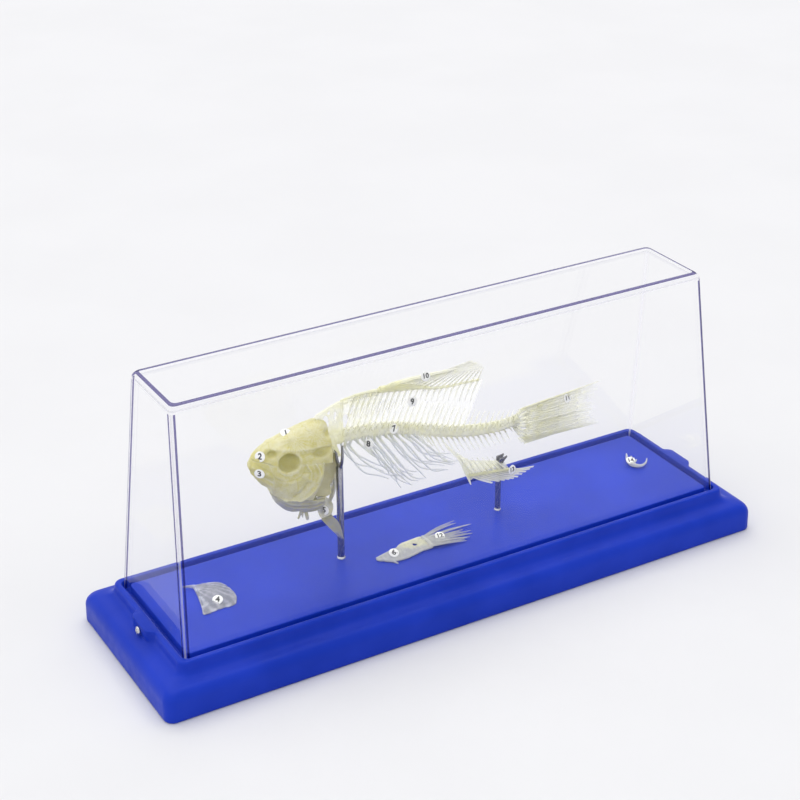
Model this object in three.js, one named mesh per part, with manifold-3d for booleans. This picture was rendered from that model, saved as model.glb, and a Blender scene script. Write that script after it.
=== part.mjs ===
// A carp skeleton on two steel pins over a blue moulded base, under a tapered clear cover.
// Three loose bones lie beside it: a gill cover, a shoulder girdle with its fin, and a throat-tooth bone.
// Millimetres, +Z up. The origin is the middle of the base's underside; the fish's head points to -X
// and its left side to -Y. Nothing moves.
import * as THREE from "three";
import { mergeVertices } from "three/addons/utils/BufferGeometryUtils.js";
import Module from "manifold-3d";

const wasm = await Module();
wasm.setup();

// ---------------------------------------------------------------- driving dimensions
const GAP = 0.3; // clearance between pieces that meet

// Half lengths (X) and half widths (Y)
const BASE_HALF = [166, 50.4];
const RIM_HALF = [153.8, 40.1];
const GROOVE_OUTER_HALF = [151.0, 37.1];
const PLATFORM_HALF = [147.4, 33.5];
const SHOULDER_Z = 11; // top of the base's upright side
const GROOVE_Z = 18;
const RIM_Z = 22.4;
const FLOOR_Z = 22; // the platform that the bones lie on

const COVER_FOOT_HALF = [150.3, 36.3];
const COVER_TOP_HALF = [143.5, 22.0];
const COVER_TOP_Z = 139.9;
const COVER_WALL = 2;
const COVER_EDGE_R = 4;

const SCREW_Z = 18.4;
const SCREW_R = 1.3;
const SCREW_HEAD_R = 2.15;
const BOSS_HALF_WIDTH = 8;
const BOSS_OUT = 3.2;

const FISH_Y = 3; // the fish's middle plane, a little behind the middle of the base
const FRONT_PIN = { x: -49.2, r: 1.75, forkZ: 74, topZ: 85.5 };
const REAR_PIN = { x: 41.6, r: 1.45, topZ: 46 };

const VERTEBRAE = 32; // from the first ribbed vertebra to the last before the tail fan
const COLUMN_START_X = -48.2;
const COLUMN_END_X = 52;
const RIB_COUNT = 13;
const FIRST_TAIL_VERTEBRA = 15;
const RIB_R = 0.6;
const SPINE_R = 0.5;
const KEEL_HALF = 0.6; // half thickness of the middle slice of the trunk vertebrae, which carries the spines

// ---------------------------------------------------------------- solids
const v3 = (x, y, z) => new THREE.Vector3(x, y, z);
const Y_AXIS = v3(0, 1, 0);
const X_AXIS = v3(1, 0, 0);
const lerp = THREE.MathUtils.lerp;

function solidFrom(geometry) {
  geometry.deleteAttribute("normal");
  geometry.deleteAttribute("uv");
  const merged = mergeVertices(geometry, 1e-4);
  return new wasm.Manifold(
    new wasm.Mesh({
      numProp: 3,
      vertProperties: merged.attributes.position.array,
      triVerts: new Uint32Array(merged.index.array),
    }),
  );
}

function geometryFrom(solid) {
  const mesh = solid.getMesh();
  const geometry = new THREE.BufferGeometry();
  geometry.setAttribute("position", new THREE.BufferAttribute(new Float32Array(mesh.vertProperties), 3));
  geometry.setIndex(new THREE.BufferAttribute(new Uint32Array(mesh.triVerts), 1));
  geometry.computeVertexNormals();
  return geometry;
}

const join = (solids) => solids.reduce((sum, solid) => sum.add(solid));

// A closed skin over a stack of rings with equal point counts, capped at both ends.
function loft(rings) {
  const count = rings[0].length;
  const positions = rings.flat().flatMap((p) => [p.x, p.y, p.z]);
  const index = [];
  for (let ring = 0; ring + 1 < rings.length; ring++) {
    for (let i = 0; i < count; i++) {
      const next = (i + 1) % count;
      const a = ring * count + i;
      const b = ring * count + next;
      index.push(a, b, b + count, a, b + count, a + count);
    }
  }
  [0, rings.length - 1].forEach((ring) => {
    if (count <= 8) {
      for (let i = 1; i + 1 < count; i++) {
        const [a, b, c] = [ring * count, ring * count + i, ring * count + i + 1];
        index.push(a, ...(ring === 0 ? [c, b] : [b, c]));
      }
      return;
    }
    const middle = rings[ring].reduce((sum, p) => sum.add(p), v3(0, 0, 0)).divideScalar(count);
    const hub = positions.length / 3;
    positions.push(middle.x, middle.y, middle.z);
    for (let i = 0; i < count; i++) {
      const a = ring * count + i;
      const b = ring * count + ((i + 1) % count);
      index.push(hub, ...(ring === 0 ? [b, a] : [a, b]));
    }
  });
  const geometry = new THREE.BufferGeometry();
  geometry.setAttribute("position", new THREE.Float32BufferAttribute(positions, 3));
  geometry.setIndex(index);
  return solidFrom(geometry);
}

// A tapering rod along a smooth line. radii are spread evenly along it; wide stretches it across Y.
function rod(points, radii, { sides = 4, steps = 1, wide = 1 } = {}) {
  const curve = points.length > 2 ? new THREE.CatmullRomCurve3(points) : new THREE.LineCurve3(...points);
  const rings = [];
  for (let step = 0; step <= steps; step++) {
    const t = step / steps;
    const at = Math.min(t * (radii.length - 1), radii.length - 1 - 1e-9);
    const radius = lerp(radii[Math.floor(at)], radii[Math.floor(at) + 1], at % 1);
    const centre = curve.getPoint(t);
    const along = curve.getTangent(t);
    const reference = Math.abs(along.dot(Y_AXIS)) > 0.95 ? X_AXIS : Y_AXIS;
    const up = along.clone().cross(reference).normalize();
    const across = up.clone().cross(along).normalize();
    const ring = [];
    for (let i = 0; i < sides; i++) {
      const angle = ((i + 0.5) / sides) * 2 * Math.PI;
      ring.push(
        centre
          .clone()
          .addScaledVector(across, radius * wide * Math.cos(angle))
          .addScaledVector(up, radius * Math.sin(angle)),
      );
    }
    rings.push(ring);
  }
  return loft(rings);
}

// A flat plate in the fish's upright middle plane, from an outline of [x, z] points.
function plate(outline, thickness, y = 0, holes = []) {
  const shape = new THREE.Shape(outline.map(([x, z]) => new THREE.Vector2(x, z)));
  holes.forEach(([x, z, rx, rz, tilt = 0]) => {
    shape.holes.push(new THREE.Path().absellipse(x, z, rx, rz, 0, 2 * Math.PI, true, tilt));
  });
  const settings = { depth: thickness, bevelEnabled: false, curveSegments: 2 };
  const geometry = new THREE.ExtrudeGeometry(shape, settings);
  geometry.rotateX(Math.PI / 2);
  geometry.translate(0, y + thickness / 2, 0);
  return solidFrom(geometry);
}

function box(low, high) {
  const size = high.map((value, i) => value - low[i]);
  const geometry = new THREE.BoxGeometry(...size);
  geometry.translate(...low.map((value, i) => value + size[i] / 2));
  return solidFrom(geometry);
}

function ball(centre, radii, segments = [10, 7]) {
  const geometry = new THREE.SphereGeometry(1, ...segments);
  geometry.scale(...radii);
  geometry.translate(...centre);
  return solidFrom(geometry);
}

function upright(radius, bottom, top, x, y, sides = 10) {
  const geometry = new THREE.CylinderGeometry(radius, radius, top - bottom, sides);
  geometry.rotateX(Math.PI / 2);
  geometry.translate(x, y, (bottom + top) / 2);
  return solidFrom(geometry);
}

function lengthwise(radius, from, to, y, z, sides = 8) {
  const geometry = new THREE.CylinderGeometry(radius, radius, to - from, sides);
  geometry.rotateZ(Math.PI / 2);
  geometry.translate((from + to) / 2, y, z);
  return solidFrom(geometry);
}

// A rounded rectangle about the Z axis, as a ring of points.
function roundedRing(half, radius, z, arcSteps = 3) {
  const ring = [];
  for (let corner = 0; corner < 4; corner++) {
    const signX = corner === 0 || corner === 3 ? 1 : -1;
    const signY = corner < 2 ? 1 : -1;
    for (let step = 0; step <= arcSteps; step++) {
      const angle = (corner + step / arcSteps) * (Math.PI / 2);
      ring.push(
        v3(
          signX * (half[0] - radius) + radius * Math.cos(angle),
          signY * (half[1] - radius) + radius * Math.sin(angle),
          z,
        ),
      );
    }
  }
  return ring;
}

const inset = (half, by) => [half[0] - by, half[1] - by];

// ---------------------------------------------------------------- base, cover, screws, pins
function makeBase() {
  const [baseR, rimR, grooveR] = [12, 6.5, 4.2];
  const body = loft([
    roundedRing(inset(BASE_HALF, 0.8), baseR, 0),
    roundedRing(BASE_HALF, baseR, 0.8),
    roundedRing(inset(BASE_HALF, 0.5), baseR, SHOULDER_Z),
    roundedRing(inset(BASE_HALF, 1.6), baseR - 1, 13.2),
    roundedRing(inset(BASE_HALF, 4), baseR - 2, 14.8),
    roundedRing([158.2, 43.6], 9, 15.6),
    roundedRing([155.2, 41.2], 7.5, 16.8),
    roundedRing(RIM_HALF, rimR, 18.6),
    roundedRing(inset(RIM_HALF, 0.2), rimR, 21.4),
    roundedRing(inset(RIM_HALF, 1), rimR - 0.8, RIM_Z),
    roundedRing(GROOVE_OUTER_HALF, grooveR, RIM_Z),
    roundedRing(GROOVE_OUTER_HALF, grooveR, GROOVE_Z),
    roundedRing(PLATFORM_HALF, 2, GROOVE_Z),
    roundedRing(PLATFORM_HALF, 2, FLOOR_Z),
  ]);
  let base = body;
  for (const side of [-1, 1]) {
    const face = side * (RIM_HALF[0] + BOSS_OUT);
    const boss = loft(
      [
        [RIM_HALF[0] - 1.5, BOSS_HALF_WIDTH + 2.5],
        [RIM_HALF[0] + BOSS_OUT - 1, BOSS_HALF_WIDTH],
        [RIM_HALF[0] + BOSS_OUT, BOSS_HALF_WIDTH - 1.2],
      ].map(([x, halfWidth], i) => {
        const top = RIM_Z - 0.3 - 0.3 * i;
        const ring = [v3(side * x, -halfWidth, 14), v3(side * x, halfWidth, 14), v3(side * x, halfWidth, top)];
        ring.push(v3(side * x, -halfWidth, top));
        return side > 0 ? ring : ring.reverse();
      }),
    );
    const [from, to] = [side * 140, face + side].sort((p, q) => p - q);
    base = base.add(boss).subtract(lengthwise(SCREW_R + GAP, from, to, 0, SCREW_Z));
  }
  for (const pin of [FRONT_PIN, REAR_PIN]) {
    base = base.subtract(upright(pin.r + GAP + 0.2, FLOOR_Z - 5, FLOOR_Z + 1, pin.x, FISH_Y, 8));
  }
  return base;
}

function makeCover() {
  const bottom = GROOVE_Z + GAP;
  const edge = COVER_TOP_Z - COVER_EDGE_R;
  const shell = (wall, low, radius) => {
    const top = inset(COVER_TOP_HALF, wall);
    const r = COVER_EDGE_R - wall;
    const rings = [
      roundedRing(inset(COVER_FOOT_HALF, wall), radius, low),
      roundedRing(inset(top, 0), radius, edge),
    ];
    for (const angle of [45, 90]) {
      const turn = THREE.MathUtils.degToRad(angle);
      const pulledIn = r * (1 - Math.cos(turn)) * 0.9;
      const cornerR = Math.max(radius - pulledIn * 0.5, 0.6);
      rings.push(roundedRing(inset(top, pulledIn), cornerR, edge + r * Math.sin(turn)));
    }
    return loft(rings);
  };
  const hollow = shell(COVER_WALL, bottom, 1.6).add(
    loft([
      roundedRing(inset(COVER_FOOT_HALF, COVER_WALL), 1.6, bottom - 2),
      roundedRing(inset(COVER_FOOT_HALF, COVER_WALL), 1.6, bottom + 0.2),
    ]),
  );
  let cover = shell(0, bottom, 3.4).subtract(hollow);
  for (const side of [-1, 1]) {
    const [a, b] = [side * 145, side * 153].sort((p, q) => p - q);
    cover = cover.subtract(lengthwise(SCREW_R + GAP, a, b, 0, SCREW_Z));
  }
  return cover;
}

function makeScrew(side) {
  const face = RIM_HALF[0] + BOSS_OUT + GAP;
  const sections = [
    [face + 1.6, 1.1],
    [face + 1.2, 1.8],
    [face + 0.5, SCREW_HEAD_R],
    [face, SCREW_HEAD_R],
    [face, SCREW_R],
    [144.4, SCREW_R],
  ];
  const shank = loft(
    sections.map(([x, radius]) => {
      const ring = [];
      for (let i = 0; i < 8; i++) {
        const angle = -(i / 8) * 2 * Math.PI;
        ring.push(v3(side * x, side * radius * Math.cos(angle), SCREW_Z + radius * Math.sin(angle)));
      }
      return ring;
    }),
  );
  const slots = box([-0.7, -0.3, -1.3], [0.7, 0.3, 1.3]).add(box([-0.7, -1.3, -0.3], [0.7, 1.3, 0.3]));
  return shank.subtract(slots.translate([side * (face + 1.6), 0, SCREW_Z]));
}

function makeFrontPin() {
  const { x, r, forkZ, topZ } = FRONT_PIN;
  const prong = (side) => {
    const line = [
      v3(x, 0, forkZ - 3),
      v3(x, side * 2.2, forkZ + 1),
      v3(x, side * 3.2, forkZ + 5),
      v3(x, side * 3.2, topZ),
    ];
    return rod(line, [1, 0.8, 0.7, 0.6], { sides: 5, steps: 4 });
  };
  return join([upright(r, FLOOR_Z - 4.5, forkZ, x, 0), prong(-1), prong(1)]);
}

function makeRearPin() {
  const { x, r, topZ } = REAR_PIN;
  const hook = [v3(x, 0, topZ - 1), v3(x + 0.4, 0.2, topZ + 3), v3(x + 1.2, 0.2, topZ + 7)];
  return join([
    upright(r, FLOOR_Z - 4.5, topZ, x, 0),
    rod(hook, [1.4, 1.2, 0.7], { sides: 6, steps: 3, wide: 0.6 }),
  ]);
}

// ---------------------------------------------------------------- head
// Midline profile of the head and its half width, from the snout back: [x, top, bottom, half width].
const HEAD_SECTIONS = [
  [-96.2, 87.8, 84.4, 1.4],
  [-94.6, 90.4, 81.2, 3.2],
  [-91.4, 93.2, 76.0, 5.2],
  [-87.2, 95.2, 70.6, 7.0],
  [-82.6, 96.8, 62.8, 8.6],
  [-78.0, 98.0, 57.6, 9.6],
  [-72.0, 99.4, 55.8, 10.2],
  [-66.0, 100.6, 53.6, 10.4],
  [-60.0, 101.0, 53.4, 9.8],
  [-55.0, 97.8, 54.6, 8.4],
  [-50.6, 90.0, 57.4, 6.4],
  [-47.0, 78.0, 62.0, 3.8],
];
const HEAD_SIDES = 12;

function headSolid(shrink = 0) {
  const rings = HEAD_SECTIONS.map(([x, top, bottom, halfWidth], i) => {
    const last = HEAD_SECTIONS.length - 1;
    const ends = i === 0 ? shrink : i === last ? -shrink : 0;
    const middle = lerp(bottom, top, 0.56);
    const ring = [];
    for (let side = 0; side < HEAD_SIDES; side++) {
      const angle = (side / HEAD_SIDES) * 2 * Math.PI;
      const [c, s] = [Math.cos(angle), Math.sin(angle)];
      const rise = s > 0 ? top - middle - shrink : middle - bottom - shrink;
      const z = middle + rise * Math.sign(s) * Math.pow(Math.abs(s), 0.85);
      const keel = s < 0 ? 1 - 0.3 * s * s : 1;
      const widest = Math.max(halfWidth - shrink, 0.6) * keel;
      ring.push(v3(x + ends, widest * Math.sign(c) * Math.pow(Math.abs(c), 0.9), z));
    }
    return ring;
  });
  return loft(rings);
}

// The half space in front of a line in the side view, as a big wedge: everything to the left of
// the line from a to b, [x, z] each, seen from -Y.
function sideOf(a, b, push = 0) {
  const along = new THREE.Vector2(b[0] - a[0], b[1] - a[1]).normalize();
  const out = new THREE.Vector2(-along.y, along.x);
  const corner = (s, d) => [a[0] + along.x * s + out.x * (d + push), a[1] + along.y * s + out.y * (d + push)];
  return plate([corner(-200, 0), corner(200, 0), corner(200, 200), corner(-200, 200)], 80);
}

const EYE = { x: -79.8, z: 87.2, r: 5.1 };
const NOSTRIL = { x: -87.3, z: 92.4, rx: 2.7, rz: 2.0 };
const ROOF_CUT = [[-99, 90.4], [-50, 79.2]]; // the skull roof ends on this line
const JAW_CUT = [[-84.2, 61], [-89.2, 96]]; // the jaws lie in front of it
const MOUTH_CUT = [[-99, 86.6], [-82, 73.5]];
const THROAT_CUT = [[-90, 70.6], [-40, 55.8]];
const CHEEK_BACK = [[-69.5, 50], [-65.2, 96]];

function makeHeadParts() {
  const whole = headSolid();
  const hollow = headSolid(1.3);
  const orbit = ball([EYE.x, 0, EYE.z], [EYE.r, 30, EYE.r - 0.5], [10, 6]);
  const septum = box([-100, -1.6, 50], [-40, 1.6, 110]);
  const nostrils = ball([NOSTRIL.x, 0, NOSTRIL.z], [NOSTRIL.rx, 20, NOSTRIL.rz], [8, 4]);
  const sockets = orbit.add(nostrils).subtract(septum);
  const skull = whole.subtract(sockets);
  const half = (side) => box([-110, side > 0 ? GAP / 2 : -40, 40], [-30, side > 0 ? 40 : -GAP / 2, 120]);

  const above = sideOf(...ROOF_CUT, GAP / 2);
  const below = sideOf(ROOF_CUT[1], ROOF_CUT[0], GAP / 2);
  const behindOcciput = plate([[-57.4, 60], [-30, 60], [-30, 120], [-56.6, 120]], 80);
  const cranium = skull.intersect(above).subtract(behindOcciput);

  const face = skull.intersect(below);
  const front = face.intersect(sideOf(...JAW_CUT, GAP / 2));
  const back = face.intersect(sideOf(JAW_CUT[1], JAW_CUT[0], GAP / 2));
  const upperJaw = front.intersect(sideOf(...MOUTH_CUT, GAP / 2));
  const lowerJaw = front.intersect(sideOf(MOUTH_CUT[1], MOUTH_CUT[0], GAP / 2));

  const throatLine = sideOf(THROAT_CUT[1], THROAT_CUT[0], GAP / 2);
  const aboveThroat = sideOf(...THROAT_CUT, GAP / 2);
  const throatBack = plate([[-60, 40], [-30, 40], [-30, 80], [-60, 80]], 80);
  const stalks = join([
    rod([v3(-68.6, 0.4, 58), v3(-70, 0.2, 54.4), v3(-72, -0.4, 51.2)], [1.4, 0.9, 0.7], { steps: 2 }),
    rod([v3(-68, 0.6, 58), v3(-67.6, 0.4, 53.6), v3(-67, 0, 49.2)], [1.5, 1.1, 1.2], { steps: 2 }),
  ]);
  const throat = back.intersect(throatLine).subtract(throatBack).add(stalks);
  const cheekBack = sideOf(...CHEEK_BACK, GAP / 2);
  const cheeks = back.intersect(aboveThroat).intersect(cheekBack);

  const coverTop = [[-66.4, 70], [-64.6, 82.2], [-59, 81.4], [-51.4, 82.6], [-48.2, 76]];
  const coverBottom = [[-47.2, 68], [-49.4, 60.6], [-54.6, 56.4], [-61, 57.4], [-67.6, 60.6]];
  const rightShell = whole.subtract(hollow).intersect(box([-70, 1.4, 40], [-30, 40, 100]));
  const pinRoom = box([-52, 0, 40], [-40, 4.4, 100]);
  const gillCover = rightShell
    .subtract(pinRoom)
    .intersect(plate(coverTop.concat(coverBottom), 80))
    .subtract(sideOf(...CHEEK_BACK, -GAP / 2))
    .intersect(aboveThroat)
    .intersect(below);
  return {
    cranium,
    upper_jaw: upperJaw,
    lower_jaw: lowerJaw,
    cheek_left: cheeks.intersect(half(-1)),
    cheek_right: cheeks.intersect(half(1)),
    gill_cover_right: gillCover,
    throat,
  };
}

// ---------------------------------------------------------------- backbone
// A smooth line in the fish's middle plane through [x, z] points, as closely spaced points.
function midline(...points) {
  return new THREE.CatmullRomCurve3(points.map(([x, z]) => v3(x, 0, z))).getPoints(200);
}

const COLUMN_FRONT = [[-56, 88.3], [-44, 87.6], [-32, 86.6], [-19, 84.2], [-4.6, 79.6], [6.8, 75.8]];
const COLUMN_REAR = [[18.4, 72.4], [30, 70.2], [42, 69.2], [49, 69.6], [55, 70.6]];
const COLUMN_POINTS = midline(...COLUMN_FRONT, ...COLUMN_REAR);

// The height of a line in the middle plane at that x.
function heightOn(points, x) {
  const found = points.findIndex((p) => p.x > x);
  const after = found < 0 ? points.length - 1 : Math.max(found, 1);
  const [a, b] = [points[after - 1], points[after]];
  return lerp(a.z, b.z, (x - a.x) / (b.x - a.x));
}

const columnZ = (x) => heightOn(COLUMN_POINTS, x);

// The line along the bases of the dorsal fin's bearers, from the nape to the end of the fin.
const RIDGE_FRONT = [[-58.6, 101.6], [-51, 106.4], [-42.8, 108], [-34.7, 108.2], [-26, 107.4], [-15.7, 105.6]];
const RIDGE_REAR = [[-4.6, 103.2], [4, 100.8], [12.3, 99.8], [20.9, 99.4], [31.6, 98.8]];
const RIDGE_POINTS = midline(...RIDGE_FRONT, ...RIDGE_REAR);
const ridgeZ = (x) => heightOn(RIDGE_POINTS, x);

const PITCH = (COLUMN_END_X - COLUMN_START_X) / VERTEBRAE;
const vertebraX = (i) => COLUMN_START_X + (i + 0.5) * PITCH;
const vertebraR = (i) => lerp(2.1, 1.35, i / (VERTEBRAE - 1));

// Spool-shaped vertebrae from one index to another, as one row. section gives a ring's [y, z]
// points from its radius.
function centra(first, last, section = roundSection) {
  const rings = [];
  const ringAt = (x, radius) => rings.push(section(radius).map(([y, z]) => v3(x, y, columnZ(x) + z)));
  for (let i = first; i <= last; i++) {
    ringAt(vertebraX(i) - PITCH * (i === first ? 0.45 : 0.5), vertebraR(i));
    ringAt(vertebraX(i), vertebraR(i) * 0.76);
  }
  ringAt(vertebraX(last) + 0.45 * PITCH, vertebraR(last));
  return loft(rings);
}

const polar = (radius, angle) => [radius * Math.cos(angle), radius * Math.sin(angle)];
const roundSection = (radius) => [30, 90, 150, 210, 270, 330].map((d) => polar(radius, (d * Math.PI) / 180));

// The middle slice of a vertebra, and the slice on one side of it.
const keelSection = (radius) => {
  const high = Math.sqrt(radius * radius - KEEL_HALF * KEEL_HALF);
  return [[KEEL_HALF, -high], [KEEL_HALF, high], [-KEEL_HALF, high], [-KEEL_HALF, -high]];
};
const flankSection = (side) => (radius) => {
  const widest = Math.acos((KEEL_HALF + GAP) / radius);
  return [-1, -0.45, 0.45, 1].map((share) => {
    const [y, z] = polar(radius, share * widest);
    return [side * y, side * z];
  });
};

// Height of each vertebra's upper spine: tall under the fin, short towards the tail.
const upperHeight = (i) => (i < 16 ? 14.2 : lerp(14, 7, (i - 16) / (VERTEBRAE - 17)));
const UPPER_LEAN = 0.42;
const BEARER_OVERLAP = 5; // how far a bearer reaches down between two spines
const FIRST_BEARER = -1;
const FIRST_FIN_BEARER = 3;
const FIRST_RAY_BEARER = 8;
const LAST_FIN_BEARER = 20;

function upperSpine(i) {
  const [x, r] = [vertebraX(i), vertebraR(i)];
  const height = upperHeight(i);
  const z = columnZ(x);
  const foot = v3(x + r * 0.3 * UPPER_LEAN, 0, z + r * 0.3);
  return rod([foot, v3(x + height * UPPER_LEAN, 0, z + height)], [SPINE_R + 0.25, SPINE_R], { sides: 3 });
}

function lowerSpine(i) {
  const [x, z, r] = [vertebraX(i), columnZ(vertebraX(i)), vertebraR(i)];
  const share = (i - FIRST_TAIL_VERTEBRA) / (VERTEBRAE - 1 - FIRST_TAIL_VERTEBRA);
  const height = i > VERTEBRAE - 3 ? 4.6 : lerp(13, 8.4, share);
  const foot = v3(x, 0, z - r * 0.3);
  return rod([foot, v3(x + height * 0.48, 0, z - height)], [SPINE_R + 0.25, SPINE_R], { sides: 3 });
}

// A rib drops from the side of its vertebra and sweeps back: [share of its reach, of its drop, of its spread].
const RIB_UPPER = [[0, 0, 0], [0.09, 0.2, 0.5], [0.24, 0.48, 0.95]];
const RIB_COURSE = [...RIB_UPPER, [0.47, 0.73, 1], [0.67, 0.85, 0.9], [1, 1, 0.6]];
const RIB_ROOT_Y = KEEL_HALF + GAP + 0.45;

function ribPoints(i, side) {
  const share = i / (RIB_COUNT - 1);
  const root = v3(vertebraX(i), side * RIB_ROOT_Y, columnZ(vertebraX(i)) - vertebraR(i) * 0.3);
  const stray = Math.sin(i * 2.4 + (side > 0 ? 1.3 : 0));
  const drop = 26 + 4.5 * Math.sin(Math.PI * share) - 4 * share * share + stray;
  const back = 21.5 + 4.5 * Math.sin(Math.PI * share) - 1.5 * share + 1.2 * stray;
  const spread = side * lerp(5.6, 4.2, share);
  return RIB_COURSE.map(([along, down, out]) =>
    root.clone().add(v3(back * along, spread * out, -drop * down)),
  );
}

function makeRibCage(side) {
  const parts = [centra(0, RIB_COUNT - 1, flankSection(side))];
  for (let i = 0; i < RIB_COUNT; i++) {
    parts.push(rod(ribPoints(i, side), [RIB_R, RIB_R, RIB_R * 0.9, RIB_R * 0.6], { steps: 4, sides: 3 }));
  }
  return join(parts);
}

function makeBackboneFront() {
  const parts = [centra(0, RIB_COUNT - 1, keelSection)];
  for (let i = 0; i < RIB_COUNT; i++) parts.push(upperSpine(i));
  return join(parts);
}

function makeBackboneMiddle() {
  const [first, last] = [RIB_COUNT, 21];
  const parts = [centra(first, last)];
  for (let i = first; i <= last; i++) parts.push(upperSpine(i));
  for (let i = FIRST_TAIL_VERTEBRA; i <= last; i++) parts.push(lowerSpine(i));
  for (let i = first; i < FIRST_TAIL_VERTEBRA; i++) {
    const [x, z, r] = [vertebraX(i), columnZ(vertebraX(i)), vertebraR(i)];
    const down = lerp(9, 6, (i - first) / 4);
    for (const side of [-1, 1]) {
      const line = [v3(x, side * r * 0.6, z - 0.6), v3(x + down * 0.5, side * 2.2, z - down)];
      parts.push(rod(line, [SPINE_R + 0.1, SPINE_R * 0.7], { sides: 3 }));
    }
  }
  return join(parts);
}

function makeBackboneRear() {
  const [first, last] = [22, VERTEBRAE - 1];
  const parts = [centra(first, last)];
  for (let i = first; i <= last; i++) parts.push(upperSpine(i), lowerSpine(i));
  return join(parts);
}

// The four joined neck vertebrae, with their wings and the tall pierced plate over them.
function makeNeck() {
  const [from, to] = [-56.5, COLUMN_START_X - GAP];
  const body = rod([v3(from, 0, columnZ(from)), v3(to, 0, columnZ(to))], [3.1, 2.2], { sides: 8 });
  const wings = [-1, 1].map((side) => {
    const line = [v3(-54.4, 0, 87.8), v3(-53.6, side * 4.4, 86.2), v3(-52, side * 7, 82.6)];
    return rod(line, [1.6, 1, 0.6], { steps: 2 });
  });
  const crestOutline = [[-56.4, 89], [-49.8, 89], [-48.6, 98], [-48.2, 105.8], [-53.4, 105.2]];
  crestOutline.push([-58.7, 103.6], [-61.4, 102.2], [-59.6, 101.7], [-56.4, 99.6]);
  const crest = plate(crestOutline, 1.1, 0, [
    [-53.4, 95.6, 1.4, 3.4, -0.15],
    [-50.8, 100.4, 0.9, 3, -0.15],
  ]);
  return join([body, ...wings, crest]);
}

// ---------------------------------------------------------------- fins
// A slim bone in the gap behind upper spine i, from below the spines' tips up to the ridge.
function bearer(i) {
  const x = vertebraX(i) + PITCH / 2;
  const z = columnZ(vertebraX(i));
  const low = upperHeight(i) - BEARER_OVERLAP;
  const foot = v3(x + low * UPPER_LEAN, 0, z + low);
  const head = foot.clone();
  for (let step = 0; step < 6; step++) {
    head.z = ridgeZ(head.x);
    head.x = foot.x + (head.z - foot.z) * UPPER_LEAN;
  }
  return { foot, head };
}

function ridgeWithBearers(first, last, ridgeRadii, bearerRadii, frontEnd = []) {
  const heads = [];
  const parts = [];
  for (let i = first; i <= last; i++) {
    const { foot, head } = bearer(i);
    heads.push(head);
    parts.push(rod([foot, head], bearerRadii, { sides: 3 }));
  }
  parts.push(rod(frontEnd.concat(heads), ridgeRadii, { steps: 6, sides: 5 }));
  return join(parts);
}

const makeNapeRidge = () => {
  const frontEnd = [v3(-47.4, 0, ridgeZ(-47.4)), v3(-41.6, 0, ridgeZ(-41.6))];
  return ridgeWithBearers(FIRST_BEARER, FIRST_FIN_BEARER - 1, [0.7, 0.9], [0.5, 0.6], frontEnd);
};

// The dorsal fin: its bearers, the bar along their heads, and soft rays lying back behind the big spine.
function makeDorsalFin() {
  const bar = ridgeWithBearers(FIRST_FIN_BEARER, LAST_FIN_BEARER, [1.5, 1.5, 0.9, 0.8, 0.7], [0.5, 0.7]);
  const rays = [];
  for (let i = FIRST_RAY_BEARER; i <= LAST_FIN_BEARER; i++) {
    const share = (i - FIRST_RAY_BEARER) / (LAST_FIN_BEARER - FIRST_RAY_BEARER);
    const tip = v3(lerp(23.4, 32.4, share), 0.9, lerp(109.8, 104.8, share * share));
    rays.push(rod([bearer(i).head, tip], [0.6, 0.3], { sides: 3 }));
  }
  return join([bar, ...rays]);
}

function makeDorsalSpine() {
  const root = bearer(FIRST_FIN_BEARER).head.add(v3(0.8, 0, 3));
  return rod([root, v3(-9.5, -0.5, 110.6), v3(16.9, -1, 108.4)], [1.1, 1.1, 0.5], { steps: 3, sides: 5 });
}

const TAIL_ROOT_X = 57.6;

// The fan of plates that carries the tail fin.
function makeTailFan() {
  const hub = v3(COLUMN_END_X + 0.9, 0, columnZ(53));
  const outline = [[hub.x, hub.z + 1.2], [55, 74], [TAIL_ROOT_X, 77]];
  outline.push([TAIL_ROOT_X, 55.8], [55.4, 59.6], [hub.x, hub.z - 1.6]);
  const slits = [73.2, 68.4, 64.4, 60.2].map((z) =>
    rod([v3(hub.x + 2.2, 0, lerp(hub.z, z, 0.5)), v3(TAIL_ROOT_X - 0.9, 0, z)], [0.15, 0.35], { wide: 6 }),
  );
  return slits.reduce((sheet, slit) => sheet.subtract(slit), plate(outline.reverse(), 1.3));
}

const TAIL_MIDDLE_Z = 66.4;
const TAIL_LOBE_RAYS = 8;
const RAY_SPLIT = 9; // how far the ends of the rays stand apart

// Half of the tail fin: a fan of rays side by side, free at their ends. lobe is 1 above and -1 below.
function makeTailLobe(lobe) {
  const tip = (share) => [
    lerp(101.5, lobe > 0 ? 104.6 : 105.6, share) - 3 * Math.sin(Math.PI * share),
    TAIL_MIDDLE_Z + lobe * lerp(0.6, lobe > 0 ? 13.6 : 10, share) - 0.9 * (1 - share),
  ];
  const root = TAIL_ROOT_X + GAP;
  const inner = TAIL_MIDDLE_Z + (lobe * GAP) / 2;
  const outer = TAIL_MIDDLE_Z + lobe * 10.9;
  const outline = [[root, inner]];
  for (let i = 0; i < TAIL_LOBE_RAYS; i++) {
    const share = i / (TAIL_LOBE_RAYS - 1);
    const [x, z] = tip(share);
    outline.push([x, z - lobe * 0.15], [x, z + lobe * 0.35]);
    const [nextX, nextZ] = tip(share + 0.5 / (TAIL_LOBE_RAYS - 1));
    if (share < 1) outline.push([nextX - RAY_SPLIT, nextZ]);
  }
  outline.push([lerp(root, tip(1)[0], 0.4), lerp(outer, tip(1)[1], 0.4) + lobe * 0.9], [root, outer]);
  return plate(lobe > 0 ? outline : outline.reverse(), 1);
}

// The long first bearer of the anal fin, the bar along the fin's base and the short bearers behind.
const analRoot = (share) => v3(lerp(23.4, 46, share), -3.7 * share, lerp(46.6, 46, share));

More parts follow.
